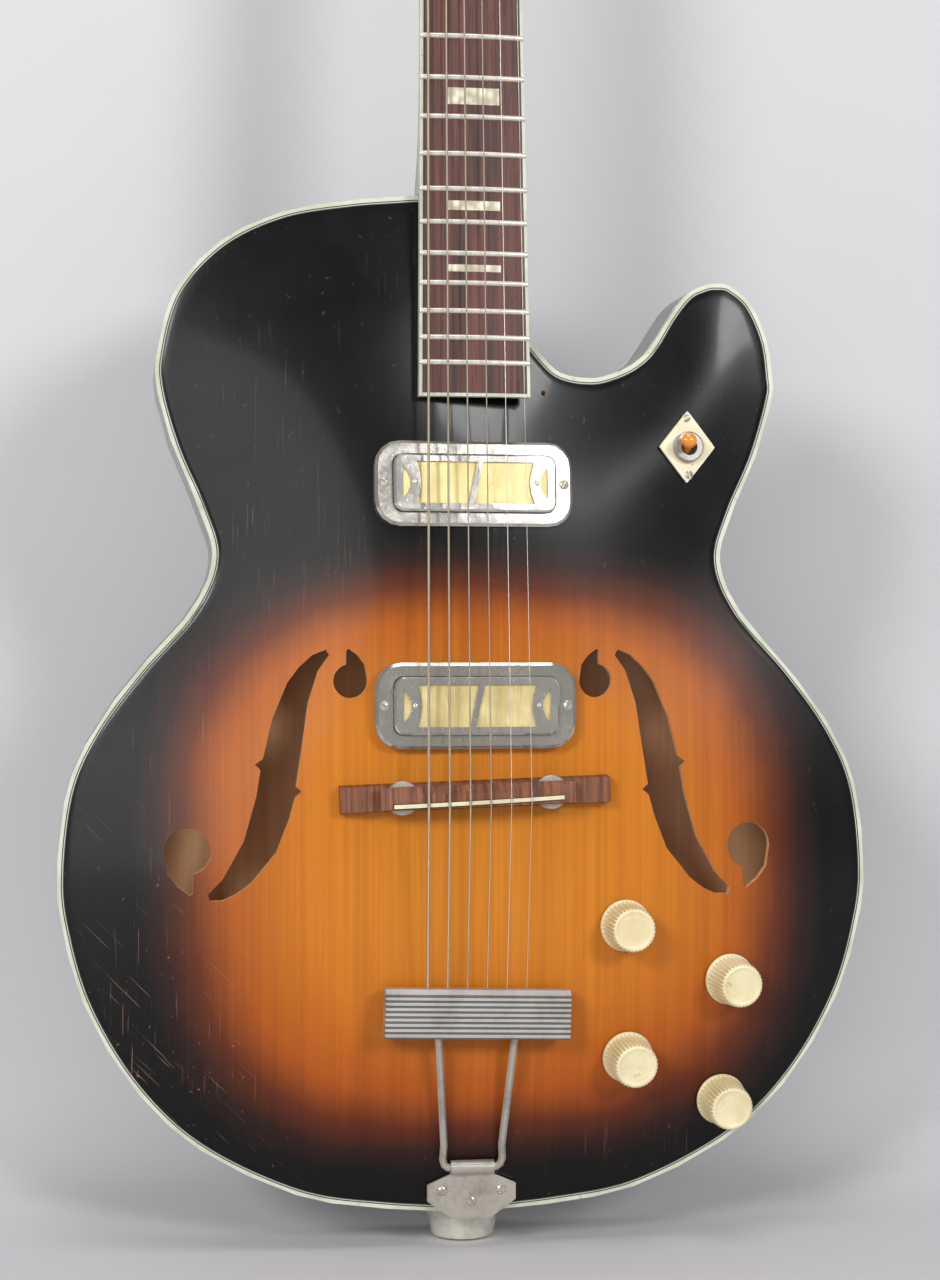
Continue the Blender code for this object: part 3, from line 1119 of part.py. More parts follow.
button_top = BODY_FOOT - GAP - BRACKET_THICKNESS - GAP
turned("end_button", [
    (0, BODY_FOOT + SHANK_LENGTH), (SHANK_RADIUS, BODY_FOOT + SHANK_LENGTH), (SHANK_RADIUS, button_top),
    (BUTTON_TOP_RADIUS, button_top), (BUTTON_TOP_RADIUS * 0.985, button_top - 2 * MM),
    (BUTTON_FOOT_RADIUS, 1 * MM), (BUTTON_FOOT_RADIUS - 1 * MM, 0.0), (0, 0.0),
], 32, PEWTER)
for piece in (rim, end_block):
    cut(piece, shank_hole)

# Strings

HEAD_CLEAR = 3.5 * MM
WRAP_STEPS = 10


def wrap_round_post(number, radius, arriving):
    """One turn and a little more of string round its post, in a slow helix down towards the head."""
    side, along = tuner_place(number)
    frame = head_place(side * POST_SPACING / 2, along)
    local = frame.inverted() @ arriving
    reach = POST_RADIUS + GAP + radius
    bearing = math.atan2(local.y, local.x)
    swing = math.acos(min(reach / math.hypot(local.x, local.y), 1.0))
    start = bearing - side * swing
    points = []
    for i in range(WRAP_STEPS + 1):
        share = i / WRAP_STEPS
        angle = start - side * share * 2 * math.pi * 1.1
        level = HEAD_CLEAR + (2.6 * radius + 0.5 * MM) * 1.1 * (1 - share) + radius
        points.append(frame @ Vector((reach * math.cos(angle), reach * math.sin(angle), level)))
    return points


for number, diameter in enumerate(STRING_DIAMETERS):
    radius = diameter / 2
    saddle_x = string_x(number, SPREAD_AT_SADDLE)
    saddle_z = SADDLE_Z + math.tan(BRIDGE_TURN + SADDLE_TURN) * saddle_x + SADDLE_SHIFT
    tail_x = string_x(number, SPREAD_AT_TAIL)
    nut_x = string_x(number, SPREAD_AT_NUT)
    bar_edge = BODY_FOOT + BAR_HEIGHT + BAR_WIDTH / 2 + math.tan(BAR_TURN) * tail_x
    tail = Vector((tail_x, -HALF_DEPTH - BAR_BACK_RISE - BAR_THICKNESS * 0.55, bar_edge + 2 * GAP))
    over_saddle = Vector((saddle_x, -HALF_DEPTH - SADDLE_STRING_RISE + camber(saddle_x), saddle_z))
    over_nut = Vector((nut_x, -HALF_DEPTH - NUT_STRING_RISE + camber(nut_x), NUT_Z + NUT_LENGTH + GAP))
    ends = wrap_round_post(number, radius, over_nut + Vector((0, 0, 3 * MM)))
    tube(f"string_{number + 1}", [tail, over_saddle, over_nut, *ends], radius, STEEL)
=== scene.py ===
"""Looks for the hollow-body electric guitar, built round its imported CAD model. Metres throughout."""

import math

import bmesh
import bpy
import numpy as np
from mathutils import Matrix, Vector


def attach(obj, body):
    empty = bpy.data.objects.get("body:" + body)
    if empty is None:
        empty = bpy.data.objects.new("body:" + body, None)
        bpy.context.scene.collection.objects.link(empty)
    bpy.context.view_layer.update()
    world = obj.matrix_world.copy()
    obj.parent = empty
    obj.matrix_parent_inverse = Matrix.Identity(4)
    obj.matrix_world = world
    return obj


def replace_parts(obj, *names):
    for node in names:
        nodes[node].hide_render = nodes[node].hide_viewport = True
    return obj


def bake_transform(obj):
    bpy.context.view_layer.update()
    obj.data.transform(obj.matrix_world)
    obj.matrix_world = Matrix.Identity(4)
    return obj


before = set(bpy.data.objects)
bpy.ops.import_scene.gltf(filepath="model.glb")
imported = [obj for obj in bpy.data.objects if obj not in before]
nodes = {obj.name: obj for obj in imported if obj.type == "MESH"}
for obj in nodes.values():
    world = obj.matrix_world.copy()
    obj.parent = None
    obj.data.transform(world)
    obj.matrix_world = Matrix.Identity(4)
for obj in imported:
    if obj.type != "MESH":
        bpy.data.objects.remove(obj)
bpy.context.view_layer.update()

MM = 0.001
FOOT = 17.0 * MM
HALF_DEPTH = 27.0 * MM
BODY_LENGTH = 495.5 * MM
LOWER_BOUT = 398.4 * MM
WAIST = 250.8 * MM
UPPER_BOUT = 304.0 * MM
TOP_ARCH = 15.0 * MM
BACK_ARCH = 11.0 * MM
ARCH_REACH = 118.0 * MM
TOP_THICKNESS = 4.5 * MM
BACK_THICKNESS = 4.0 * MM
PLATE_INSET = 3.3 * MM
BODY_TOP = FOOT + BODY_LENGTH
SCALE_LENGTH = 648.0 * MM
JOINT_FRET = 14
FRETS = 20
NUT_Z = BODY_TOP + 1.8 * MM + SCALE_LENGTH * (1 - 2 ** (-JOINT_FRET / 12))
SADDLE_Z = NUT_Z - SCALE_LENGTH - 4 * MM
BOARD_LENGTH = 460 * MM
BOARD_END_Z = NUT_Z - BOARD_LENGTH
BOARD_END_RISE = 18 * MM
BOARD_END_WIDTH = 54.1 * MM
NUT_WIDTH = 44.5 * MM
NECK_ANGLE = math.radians(3.5)
HEAD_ANGLE = math.radians(13.0)
BOARD_RADIUS = 254 * MM
BAR_HEIGHT = 100 * MM
BAR_LEAN = math.radians(1.6)

# Places on the top in millimetres: across from the middle, then above the body's lower end
KNOBS = [(74.3, 140.0), (127.7, 112.1), (76.3, 75.3), (124.8, 52.2)]
SWITCH = (107.1, 374.1)
GUARD_SCREW = (36.3, 400.1)

# Camera: level, from a little to the bass side, as in the photograph
PHOTO_TURN = math.radians(8.4)
CAMERA_DISTANCE = 1.2
CAMERA_HEIGHT = FOOT + 279 * MM
FOCAL_PIXELS = 2455
PHOTO_PIXELS = (940, 1280)

camera_data = bpy.data.cameras.new("camera")
camera_data.sensor_fit = "VERTICAL"
camera_data.sensor_height = 24
camera_data.lens = 24 * FOCAL_PIXELS / PHOTO_PIXELS[1]
camera = bpy.data.objects.new("camera", camera_data)
bpy.context.scene.collection.objects.link(camera)
camera.location = (
    -CAMERA_DISTANCE * math.sin(PHOTO_TURN),
    -HALF_DEPTH - CAMERA_DISTANCE * math.cos(PHOTO_TURN),
    CAMERA_HEIGHT,
)
camera.rotation_euler = (math.pi / 2, 0, -PHOTO_TURN)
bpy.context.scene.camera = camera
bpy.context.scene.view_settings.view_transform = "Standard"


# Shader maths


class Value:
    """A socket that adds Math nodes when it is used in an expression."""

    def __init__(self, shader, socket):
        self.shader, self.socket = shader, socket

    def math(self, operation, *others):
        return self.shader.node("ShaderNodeMath", {"operation": operation}, [self, *others])

    def __add__(self, other):
        return self.math("ADD", other)

    __radd__ = __add__

    def __mul__(self, other):
        return self.math("MULTIPLY", other)

    __rmul__ = __mul__

    def __sub__(self, other):
        return self.math("SUBTRACT", other)

    def __rsub__(self, other):
        return self * -1 + other

    def __truediv__(self, other):
        return self.math("DIVIDE", other)

    def __pow__(self, other):
        return self.math("POWER", other)

    def limit(self):
        return self.shader.node("ShaderNodeClamp", {}, [self, 0.0, 1.0])

    def step(self, low, high):
        """0 below low and 1 above high, smooth between. Low may be the larger one."""
        kind = {"interpolation_type": "SMOOTHSTEP"}
        return self.shader.node("ShaderNodeMapRange", kind, [self, low, high, 0.0, 1.0])


class Shader:
    """A node material with one Principled shader."""

    def __init__(self, name, **constants):
        self.material = bpy.data.materials.new(name)
        self.material.use_nodes = True
        self.tree = self.material.node_tree
        self.surface = self.tree.nodes["Principled BSDF"]
        for key, value in constants.items():
            self.surface.inputs[key.replace("_", " ")].default_value = value
        self.place = self.node("ShaderNodeTexCoord", {}, [], "Object")
        self.x, self.y, self.z = (self.node("ShaderNodeSeparateXYZ", {}, [self.place], i) for i in range(3))

    def node(self, kind, settings, values, out=0):
        made = self.tree.nodes.new(kind)
        for key, value in settings.items():
            if key == "stops":
                ramp = made.color_ramp
                while len(ramp.elements) > 1:
                    ramp.elements.remove(ramp.elements[0])
                for i, (place, colour) in enumerate(value):
                    element = ramp.elements[0] if i == 0 else ramp.elements.new(place)
                    element.position = place
                    element.color = (*colour, 1)
            else:
                setattr(made, key, value)
        pairs = values.items() if isinstance(values, dict) else enumerate(values)
        for key, value in pairs:
            if isinstance(value, Value):
                self.tree.links.new(value.socket, made.inputs[key])
            else:
                made.inputs[key].default_value = value
        return Value(self, made.outputs[out])

    def stretched(self, x, y, z):
        return self.node("ShaderNodeVectorMath", {"operation": "MULTIPLY"}, [self.place, (x, y, z)])

    def noise(self, x, y, z, detail=4.0, roughness=0.55, out=0):
        """Noise with its own number of cells a metre along each axis."""
        return self.node("ShaderNodeTexNoise", {}, {"Vector": self.stretched(x, y, z), "Scale": 1.0,
                                                    "Detail": detail, "Roughness": roughness}, out)

    def ramp(self, value, *stops):
        return self.node("ShaderNodeValToRGB", {"stops": stops}, [value])

    def mix(self, share, first, second, blend="MIX"):
        first, second = (c if isinstance(c, Value) else (*c, 1) for c in (first, second))
        kind = {"data_type": "RGBA", "blend_type": blend}
        return self.node("ShaderNodeMix", kind, {0: share, 6: first, 7: second}, 2)

    def set(self, **links):
        for key, value in links.items():
            socket = self.surface.inputs[key.replace("_", " ")]
            if isinstance(value, Value):
                self.tree.links.new(value.socket, socket)
            else:
                socket.default_value = value

    def bump(self, height, strength, distance):
        values = {"Height": height, "Strength": strength, "Distance": distance}
        self.set(Normal=self.node("ShaderNodeBump", {}, values))


def srgb(r, g, b):
    """Linear colour from 0-255 screen values."""
    return tuple(((c / 255 + 0.055) / 1.055) ** 2.4 if c > 10 else c / 255 / 12.92 for c in (r, g, b))


BLACK = srgb(10, 10, 12)
DARK_BROWN = srgb(44, 25, 20)
RED_BROWN = srgb(96, 45, 22)
ORANGE = srgb(170, 88, 22)
AMBER = srgb(194, 114, 26)
PALE_AMBER = srgb(200, 124, 30)
# Bare wood inside the body, its colour raised well above the bare spruce's as painted light falling in
# through the holes
INSIDE_WOOD_WITH_PAINTED_LIGHT = srgb(236, 188, 140)


def sunburst():
    s = Shader("sunburst lacquer over spruce", Coat_Roughness=0.1, Specular_IOR_Level=0.2)
    height = s.z - FOOT
    wobble = (s.noise(9, 9, 9, 3) - 0.5) * 0.14
    across = ((s.x - 6 * MM) / (172 * MM)).math("ABSOLUTE") ** 3.0
    along = ((height - 174 * MM) / (157 * MM)).math("ABSOLUTE") ** 3.0
    radial = (across + along) ** (1 / 3) + wobble
    burst = s.ramp(radial, (0.0, PALE_AMBER), (0.5, AMBER), (0.72, ORANGE), (0.83, RED_BROWN),
                   (0.91, DARK_BROWN), (0.98, BLACK))
    burst = s.mix(height.step(150 * MM, 40 * MM) * 0.3, burst, srgb(226, 150, 90), "MULTIPLY")
    grain = s.noise(620, 10, 5, 3)
    wide = s.noise(150, 10, 2.2, 2)
    streak = (grain * 0.6 + wide * 0.4).step(0.3, 0.72)
    grained = s.mix(0.5, burst, s.mix(streak, (0.66, 0.62, 0.58), (1.05, 1.07, 1.1)), "MULTIPLY")
    scratch = s.noise(1500, 40, 30, 2).step(0.66, 0.72) * s.noise(14, 14, 10, 2).step(0.52, 0.66)
    lower_left = s.x.step(-60 * MM, -150 * MM) * height.step(260 * MM, 60 * MM)
    slanted = s.node("ShaderNodeCombineXYZ", {}, [(s.x + s.z) * 900, s.y * 30, (s.z - s.x) * 22])
    slanted = s.node("ShaderNodeTexNoise", {}, {"Vector": slanted, "Scale": 1.0, "Detail": 2.0})
    slanted = slanted.step(0.66, 0.72)
    scuffs = s.noise(420, 420, 300, 3).step(0.68, 0.74) * (0.15 + lower_left * 0.5)
    worn = (scratch * (0.25 + lower_left * 0.6) + slanted * lower_left * 0.6 + scuffs).limit()
    front = s.mix(worn, grained, srgb(150, 112, 84))
    facing = s.node("ShaderNodeSeparateXYZ", {}, [s.node("ShaderNodeTexCoord", {}, [], "Normal")], 1)
    inside = facing.step(-0.35, -0.1)
    # Inner faces and hole walls: bare wood, both colours raised as painted light falling in through the holes
    wood = s.mix(grain, srgb(190, 138, 92), INSIDE_WOOD_WITH_PAINTED_LIGHT)
    s.set(Base_Color=s.mix(inside, front, wood),
          Roughness=(0.22 + s.noise(40, 40, 40, 4) * 0.16 + worn * 0.2 + inside * 0.3).limit(),
          Coat_Weight=(0.13 - worn * 0.1 - inside * 0.13).limit())
    s.bump(grain * 0.5 + s.noise(2200, 60, 50, 2) * 0.15, 0.12, 0.0004)
    return s.material


def lacquered(name, dark, light, amount=0.35):
    """Dark stained hardwood under gloss."""
    s = Shader(name, Coat_Roughness=0.1)
    figure = s.noise(70, 70, 8, 4)
    cloud = s.noise(12, 12, 12, 3)
    colour = s.mix((figure * 0.6 + cloud * 0.4).step(0.35, 0.75) * amount, dark, light)
    s.set(Base_Color=colour, Roughness=(0.26 + cloud * 0.2).limit(), Coat_Weight=0.7)
    s.bump(s.noise(900, 900, 60, 2), 0.05, 0.0003)
    return s


def back_lacquer():
    s = lacquered("dark lacquered back", BLACK, RED_BROWN, 0.5)
    facing = s.node("ShaderNodeSeparateXYZ", {}, [s.node("ShaderNodeTexCoord", {}, [], "Normal")], 1)
    inside = facing.step(0.3, -0.3)
    dark = s.mix(s.noise(70, 70, 8, 4).step(0.35, 0.75) * 0.5, BLACK, RED_BROWN)
    # The back's inner face: bare wood, both colours raised as painted light falling in through the holes
    s.set(Base_Color=s.mix(inside, dark, s.mix(s.noise(200, 20, 6, 3), srgb(196, 142, 96), INSIDE_WOOD_WITH_PAINTED_LIGHT)),
          Coat_Weight=(0.7 - inside * 0.7).limit())
    return s.material


def bare_wood():
    s = Shader("bare spruce", Roughness=0.75)
    grain = s.noise(400, 30, 8, 3)
    s.set(Base_Color=s.mix(grain, srgb(120, 82, 50), srgb(178, 132, 84)))
    s.bump(grain, 0.2, 0.0004)
    return s.material


def rosewood(name, deep, light):
    s = Shader(name)
    streaks = s.noise(420, 60, 9, 5, 0.65)
    pores = s.noise(2600, 400, 90, 2).step(0.6, 0.72)
    colour = s.mix(streaks.step(0.3, 0.72), deep, light)
    s.set(Base_Color=s.mix(pores * 0.6, colour, (0.012, 0.006, 0.005)),
          Roughness=(0.42 + streaks * 0.22 + pores * 0.15).limit())
    s.bump(pores * -1 + streaks * 0.3, 0.18, 0.0003)
    return s.material


def cream(name, base, stain, gloss=0.35):
    s = Shader(name, Subsurface_Weight=0.05)
    cloud = s.noise(60, 60, 60, 4)
    spots = s.noise(320, 320, 320, 3).step(0.62, 0.75)
    colour = s.mix(cloud.step(0.35, 0.7) * 0.55, base, stain)
    s.set(Base_Color=s.mix(spots * 0.35, colour, srgb(120, 92, 58)), Roughness=(gloss + cloud * 0.15).limit())
    s.bump(s.noise(900, 900, 900, 2), 0.05, 0.0002)
    return s.material


def plated(name, bright, tarnish, rough, patina=0.5, rust=0.0, metal=0.6):
    """Old plated metal: clouded, scratched and spotted."""
    s = Shader(name)
    cloud = s.noise(55, 55, 55, 5, 0.62)
    fine = s.noise(420, 420, 420, 4)
    dull = (cloud * 0.7 + fine * 0.3).step(0.42, 0.72) * patina
    scratches = s.noise(1100, 900, 700, 2).step(0.64, 0.74) * 0.15
    colour = s.mix(dull, bright, tarnish)
    spots = fine.step(0.64, 0.72) * cloud.step(0.45, 0.6) * rust
    s.set(Base_Color=s.mix(spots, colour, srgb(108, 58, 30)),
          Roughness=(rough + dull * 0.3 + scratches + spots * 0.3).limit(),
          Metallic=(metal - spots * 0.5).limit())
    s.bump(fine * 0.5 + spots, 0.1, 0.0003)
    return s.material


def ribbed_bar():
    """The bar's metal, with painted shade in the grooves between its ribs."""
    s = Shader("bar metal", Metallic=0.6)
    cloud = s.noise(55, 55, 55, 5, 0.62)
    up = (s.x * math.sin(BAR_LEAN) + (s.z - FOOT - BAR_HEIGHT) * math.cos(BAR_LEAN)) / MM
    # Dark lines painted on the bar's front where the grooves between its ribs fall into shade
    painted_groove_shade = ((9.1 - up) / 2.5).math("FRACT").step(0.46, 0.3)
    painted_groove_shade = painted_groove_shade * up.step(9.4, 9.0) * (s.y + HALF_DEPTH + 27 * MM).step(0.002, 0.0)
    colour = s.mix(cloud.step(0.42, 0.72) * 0.5, srgb(196, 194, 190), srgb(136, 132, 124))
    s.set(Base_Color=s.mix(painted_groove_shade * 0.75, colour, srgb(58, 54, 48)),
          Roughness=(0.28 + cloud * 0.2 + painted_groove_shade * 0.3).limit())
    return s.material


def gold_foil():
    s = Shader("gold foil", Metallic=0.55)
    cloth = s.noise(60, 60, 60, 4)
    brush = s.noise(2600, 300, 90, 3)
    weave = (cloth * 0.6 + brush * 0.4).step(0.35, 0.7)
    s.set(Base_Color=s.mix(weave, srgb(186, 168, 112), srgb(222, 206, 152)),
          Roughness=(0.32 + brush * 0.25).limit())
    s.bump(brush * 0.4 + cloth, 0.35, 0.0006)
    return s.material


def pearl():
    s = Shader("mother-of-pearl plastic", Coat_Weight=0.4)
    cells = s.node("ShaderNodeTexVoronoi", {}, {"Vector": s.stretched(260, 260, 190), "Scale": 1.0})
    cloud = s.noise(180, 180, 180, 3)
    flakes = (cells * 0.7 + cloud * 0.3).step(0.2, 0.65)
    s.set(Base_Color=s.mix(flakes, srgb(236, 228, 204), srgb(176, 168, 142)),
          Roughness=(0.22 + cells * 0.25).limit())
    return s.material


def amber_plastic():
    s = Shader("amber plastic", Coat_Weight=0.5, Subsurface_Weight=0.2)
    cloud = s.noise(300, 300, 300, 3)
    s.set(Base_Color=s.mix(cloud, srgb(206, 104, 10), srgb(238, 148, 34)),
          Roughness=(0.2 + cloud * 0.15).limit())
    return s.material


def wound(name, tone, coil):
    """String metal. A wound string has its wrap as a fine bump along it."""
    s = Shader(name, Metallic=0.6)
    wrap = (s.z * (2 * math.pi / coil)).math("SINE") * 0.5 + 0.5
    stain = s.noise(30, 30, 14, 4).step(0.5, 0.75)
    s.set(Base_Color=s.mix(stain * 0.6, tone, srgb(96, 74, 50)),
          Roughness=(0.3 + stain * 0.25 + wrap * 0.1).limit())
    s.bump(wrap, 0.6, 0.0001)
    return s.material


TOP = sunburst()
BACK = back_lacquer()
SIDE = lacquered("dark lacquered sides", BLACK, DARK_BROWN, 0.6).material
NECK = lacquered("dark lacquered neck", srgb(34, 22, 20), RED_BROWN, 0.35).material
HEAD = lacquered("black head veneer", srgb(18, 17, 18), srgb(30, 28, 28), 0.3).material
BARE = bare_wood()
BOARD = rosewood("rosewood board", srgb(42, 20, 17), srgb(108, 60, 50))
BRIDGE = rosewood("rosewood bridge", srgb(74, 36, 22), srgb(144, 86, 52))
BINDING = cream("aged binding", srgb(204, 205, 188), srgb(160, 166, 140))
DARK_PLY = cream("dark ply", srgb(26, 40, 34), srgb(44, 58, 46))
BONE = cream("bone", srgb(222, 212, 180), srgb(188, 170, 128))
IVORY = cream("ivory plastic", srgb(230, 218, 178), srgb(200, 178, 128), 0.3)
PLATE_PLASTIC = cream("ivory plate", srgb(232, 224, 194), srgb(210, 196, 152), 0.3)
CHROME = plated("worn chrome", srgb(220, 218, 212), srgb(132, 124, 110), 0.12, 0.6, 0.3, 0.85)
RING_CHROME = plated("ring chrome", srgb(206, 202, 194), srgb(120, 110, 94), 0.14, 0.7, 0.4, 0.85)
BAR_METAL = ribbed_bar()
NICKEL = plated("dull nickel", srgb(186, 182, 172), srgb(116, 106, 90), 0.3, 0.7, 0.35)
PEWTER = plated("dull button metal", srgb(222, 220, 208), srgb(168, 162, 146), 0.35, 0.7, 0.2, 0.4)
SCREW = plated("screw metal", srgb(196, 190, 176), srgb(120, 108, 88), 0.25, 0.5, 0.3)
FRET_METAL = plated("fret metal", srgb(214, 209, 198), srgb(170, 162, 144), 0.25, 0.4, metal=0.45)
GOLD = gold_foil()
PEARL = pearl()
AMBER_TIP = amber_plastic()
WOUND_STRING = wound("wound string", srgb(170, 160, 142), 0.35 * MM)
PLAIN_STRING = wound("plain string", srgb(200, 196, 188), 5 * MM)

NODE_LOOKS = {
    "top_plate": TOP, "back_plate": BACK, "rim": SIDE, "top_binding": BINDING, "back_binding": BINDING,
    "neck": NECK, "head_veneer": HEAD, "neck_block": BARE, "end_block": BARE, "bass_tone_bar": BARE,
    "treble_tone_bar": BARE, "fretboard": BOARD, "bridge_base": BRIDGE, "bridge_top": BRIDGE, "nut": BONE,
    "saddle": BONE, "switch_plate": PLATE_PLASTIC, "switch_lever": AMBER_TIP, "end_button": PEWTER,
    "tailpiece_bar": BAR_METAL,
}


def soften(mesh, angle=math.radians(34)):
    """Normals that run smoothly over faces meeting at less than the angle. The vertices stay as they are."""
    corners = {}
    for polygon in mesh.polygons:
        for i in polygon.loop_indices:
            place = mesh.vertices[mesh.loops[i].vertex_index].co
            key = tuple(round(c * 1e6) for c in place)
            corners.setdefault(key, []).append((i, polygon.normal.copy(), polygon.area))
    normals = [None] * len(mesh.loops)
    for group in corners.values():
        for i, own, _ in group:
            total = sum((n * a for _, n, a in group if own.dot(n) > math.cos(angle)), Vector())
            normals[i] = total.normalized() if total.length > 0 else own
    mesh.shade_smooth()
    mesh.normals_split_custom_set(normals)


def look_of(name):
    if name in NODE_LOOKS:
        return NODE_LOOKS[name]
    if name.endswith("coil"):
        return GOLD
    if name.endswith("ring"):
        return RING_CHROME
    if "cover" in name:
        return CHROME
    return IVORY if name.startswith(("knob", "tuner_button")) else NICKEL


for name, node in nodes.items():
    soften(node.data)
    node.data.materials.clear()
    node.data.materials.append(look_of(name))


# Places on the body, as in the CAD


def spline_through(points, steps):
    points = [np.array(p, float) for p in points]
    points = [2 * points[0] - points[1], *points, 2 * points[-1] - points[-2]]
    curve = []
    for a, b, c, d in zip(points, points[1:], points[2:], points[3:]):
        for i in range(steps):
            t = i / steps
            curve.append(0.5 * (2 * b + (c - a) * t + (2 * a - 5 * b + 4 * c - d) * t**2
                                + (3 * b - a - 3 * c + d) * t**3))
    curve.append(points[-2])
    return curve


BOUT_POINTS = [
    (UPPER_BOUT, 0.395, 0.9935), (UPPER_BOUT, 0.6105, 0.9804), (UPPER_BOUT, 0.801, 0.9508),
    (UPPER_BOUT, 0.942, 0.9023), (UPPER_BOUT, 0.9987, 0.8438), (UPPER_BOUT, 0.9987, 0.805),
    (UPPER_BOUT, 0.945, 0.7471), (WAIST, 1.047, 0.6892), (WAIST, 1.0, 0.6418), (WAIST, 1.081, 0.592),
    (LOWER_BOUT, 0.807, 0.534), (LOWER_BOUT, 0.912, 0.4763), (LOWER_BOUT, 0.976, 0.4186),
    (LOWER_BOUT, 1.0, 0.341), (LOWER_BOUT, 0.988, 0.2838), (LOWER_BOUT, 0.931, 0.2063),
    (LOWER_BOUT, 0.815, 0.128), (LOWER_BOUT, 0.658, 0.0676), (LOWER_BOUT, 0.427, 0.0212),
    (LOWER_BOUT, 0.226, 0.0058),
]
HORN_POINTS = [
    (1.0, 0.8275), (0.9809, 0.8654), (0.9283, 0.8999), (0.8599, 0.9175), (0.8138, 0.9199), (0.773, 0.9179),
    (0.7158, 0.909), (0.6579, 0.887), (0.6007, 0.8581), (0.5553, 0.8426), (0.4862, 0.8303), (0.3954, 0.8232),
    (0.288, 0.8295), (0.2079, 0.8543),
]


def body_outline(steps):
    bass = [(-bout / 2 * share, FOOT + BODY_LENGTH * up) for bout, share, up in BOUT_POINTS]
    treble = [(-x, z) for x, z in reversed(bass[5:])]
    horn = [(UPPER_BOUT / 2 * share, FOOT + BODY_LENGTH * up) for share, up in HORN_POINTS]
    side = 27.5 * MM
    low = FOOT + BODY_LENGTH * 0.864
    curve = spline_through([(-side, BODY_TOP), *bass, (0.0, FOOT), *treble, *horn, (side, low)], steps)
    return np.array([*curve, (side, (low + BODY_TOP) / 2), (side, BODY_TOP), (0.0, BODY_TOP)])


OUTLINE = body_outline(10)
OUTLINE_NEXT = np.roll(OUTLINE, -1, axis=0)
MIDDLES = (OUTLINE + OUTLINE_NEXT) / 2
LENGTHS = np.linalg.norm(OUTLINE_NEXT - OUTLINE, axis=1)


def inset(outline, distance):
    before = outline - np.roll(outline, 1, axis=0)
    after = np.roll(outline, -1, axis=0) - outline
    before /= np.linalg.norm(before, axis=1)[:, None]
    after /= np.linalg.norm(after, axis=1)[:, None]
    normals = np.stack([-before[:, 1] - after[:, 1], before[:, 0] + after[:, 0]], axis=1)
    normals /= np.linalg.norm(normals, axis=1)[:, None]
    lean = np.einsum("ij,ij->i", normals, np.stack([-after[:, 1], after[:, 0]], axis=1))
    return outline + normals * (distance / np.maximum(lean, 0.5))[:, None]


def top_rise(x, z):
    squares = (MIDDLES[:, 0] - x) ** 2 + (MIDDLES[:, 1] - z) ** 2
    share = min((math.pi / 2 / float((LENGTHS / squares**2).sum())) ** (1 / 3) / ARCH_REACH, 1.0)
    return TOP_ARCH * (0.5 * share**2 * (3 - 2 * share) + 0.5 * math.sin(math.pi / 2 * share))


def surface_frame(x, height, lift=0.0):
    z, step = FOOT + height, 1 * MM
    slope_x = (top_rise(x + step, z) - top_rise(x - step, z)) / (2 * step)
    slope_z = (top_rise(x, z + step) - top_rise(x, z - step)) / (2 * step)
    out = Vector((-slope_x, -1.0, -slope_z)).normalized()
    across = Vector((1.0, -slope_x, 0.0)).normalized()
    up = out.cross(across)
    place = Vector((x, -HALF_DEPTH - top_rise(x, z), z)) + out * lift
    return Matrix.Translation(place) @ Matrix((across, up, out)).transposed().to_4x4()


def face_frame(x, z, rise, turn=0.0):
    upright = Matrix.Translation((x, -HALF_DEPTH - rise, z)) @ Matrix.Rotation(math.pi / 2, 4, "X")
    return upright @ Matrix.Rotation(turn, 4, "Z")


def board_rise(z, x=0.0):
    return BOARD_END_RISE - math.tan(NECK_ANGLE) * (z - BOARD_END_Z) - x**2 / (2 * BOARD_RADIUS)


def board_half_width(z):
    return (BOARD_END_WIDTH + (z - BOARD_END_Z) / BOARD_LENGTH * (NUT_WIDTH - BOARD_END_WIDTH)) / 2


def fret_z(number):
    return NUT_Z - SCALE_LENGTH * (1 - 2 ** (-number / 12))


# Mesh helpers


def piece(name, vertices, faces, look, body="guitar", angle=35):
    bm = bmesh.new()
    made = [bm.verts.new(v) for v in vertices]
    for face in faces:
        bm.faces.new([made[i] for i in face])
    bmesh.ops.recalc_face_normals(bm, faces=bm.faces)
    mesh = bpy.data.meshes.new(name)
    bm.to_mesh(mesh)
    bm.free()
    mesh.materials.append(look)
    mesh.shade_smooth()
    mesh.set_sharp_from_angle(angle=math.radians(angle))
    obj = bpy.data.objects.new(name, mesh)
    bpy.context.scene.collection.objects.link(obj)
    if body:
        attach(obj, body)
    return obj


def skin(sections, closed=False):
    """Vertices and faces of a loft through equal loops."""
    count = len(sections[0])
    vertices = [tuple(p) for section in sections for p in section]
    faces = []
    for i in range(len(sections) if closed else len(sections) - 1):
        low, high = i * count, (i + 1) % len(sections) * count
        faces += [(low + j, low + (j + 1) % count, high + (j + 1) % count, high + j) for j in range(count)]
    if not closed:
        faces += [tuple(range(count)), tuple(range(len(vertices) - count, len(vertices)))]
    return vertices, faces


def gather(parts):
    """Several (vertices, faces) as one."""
    vertices, faces = [], []
    for some, these in parts:
        shift = len(vertices)
        vertices += some
        faces += [tuple(i + shift for i in face) for face in these]
    return vertices, faces


def placed(part, matrix):
    return [tuple(matrix @ Vector(v)) for v in part[0]], part[1]


def lathe(profile, segments):
    """A turned form about Z, from (radius, z) points. It closes with a fan at each end."""
    rings = [[(r * math.cos(2 * math.pi * i / segments), r * math.sin(2 * math.pi * i / segments), z)
              for i in range(segments)] for r, z in profile]
    return skin(rings)


def tube(points, radius, sides=10):
    """A round tube along points, with flat ends."""
    points = [Vector(p) for p in points]
    normal = None
    loops = []
    for i, point in enumerate(points):
        before, after = points[max(i - 1, 0)], points[min(i + 1, len(points) - 1)]
        along = (after - before).normalized()
        if normal is None:
            normal = along.orthogonal().normalized()
        normal = (normal - along * normal.dot(along)).normalized()
        side = along.cross(normal)
        loops.append([point + radius * (math.cos(a) * normal + math.sin(a) * side)
                      for a in (2 * math.pi * j / sides for j in range(sides))])
    return skin(loops)


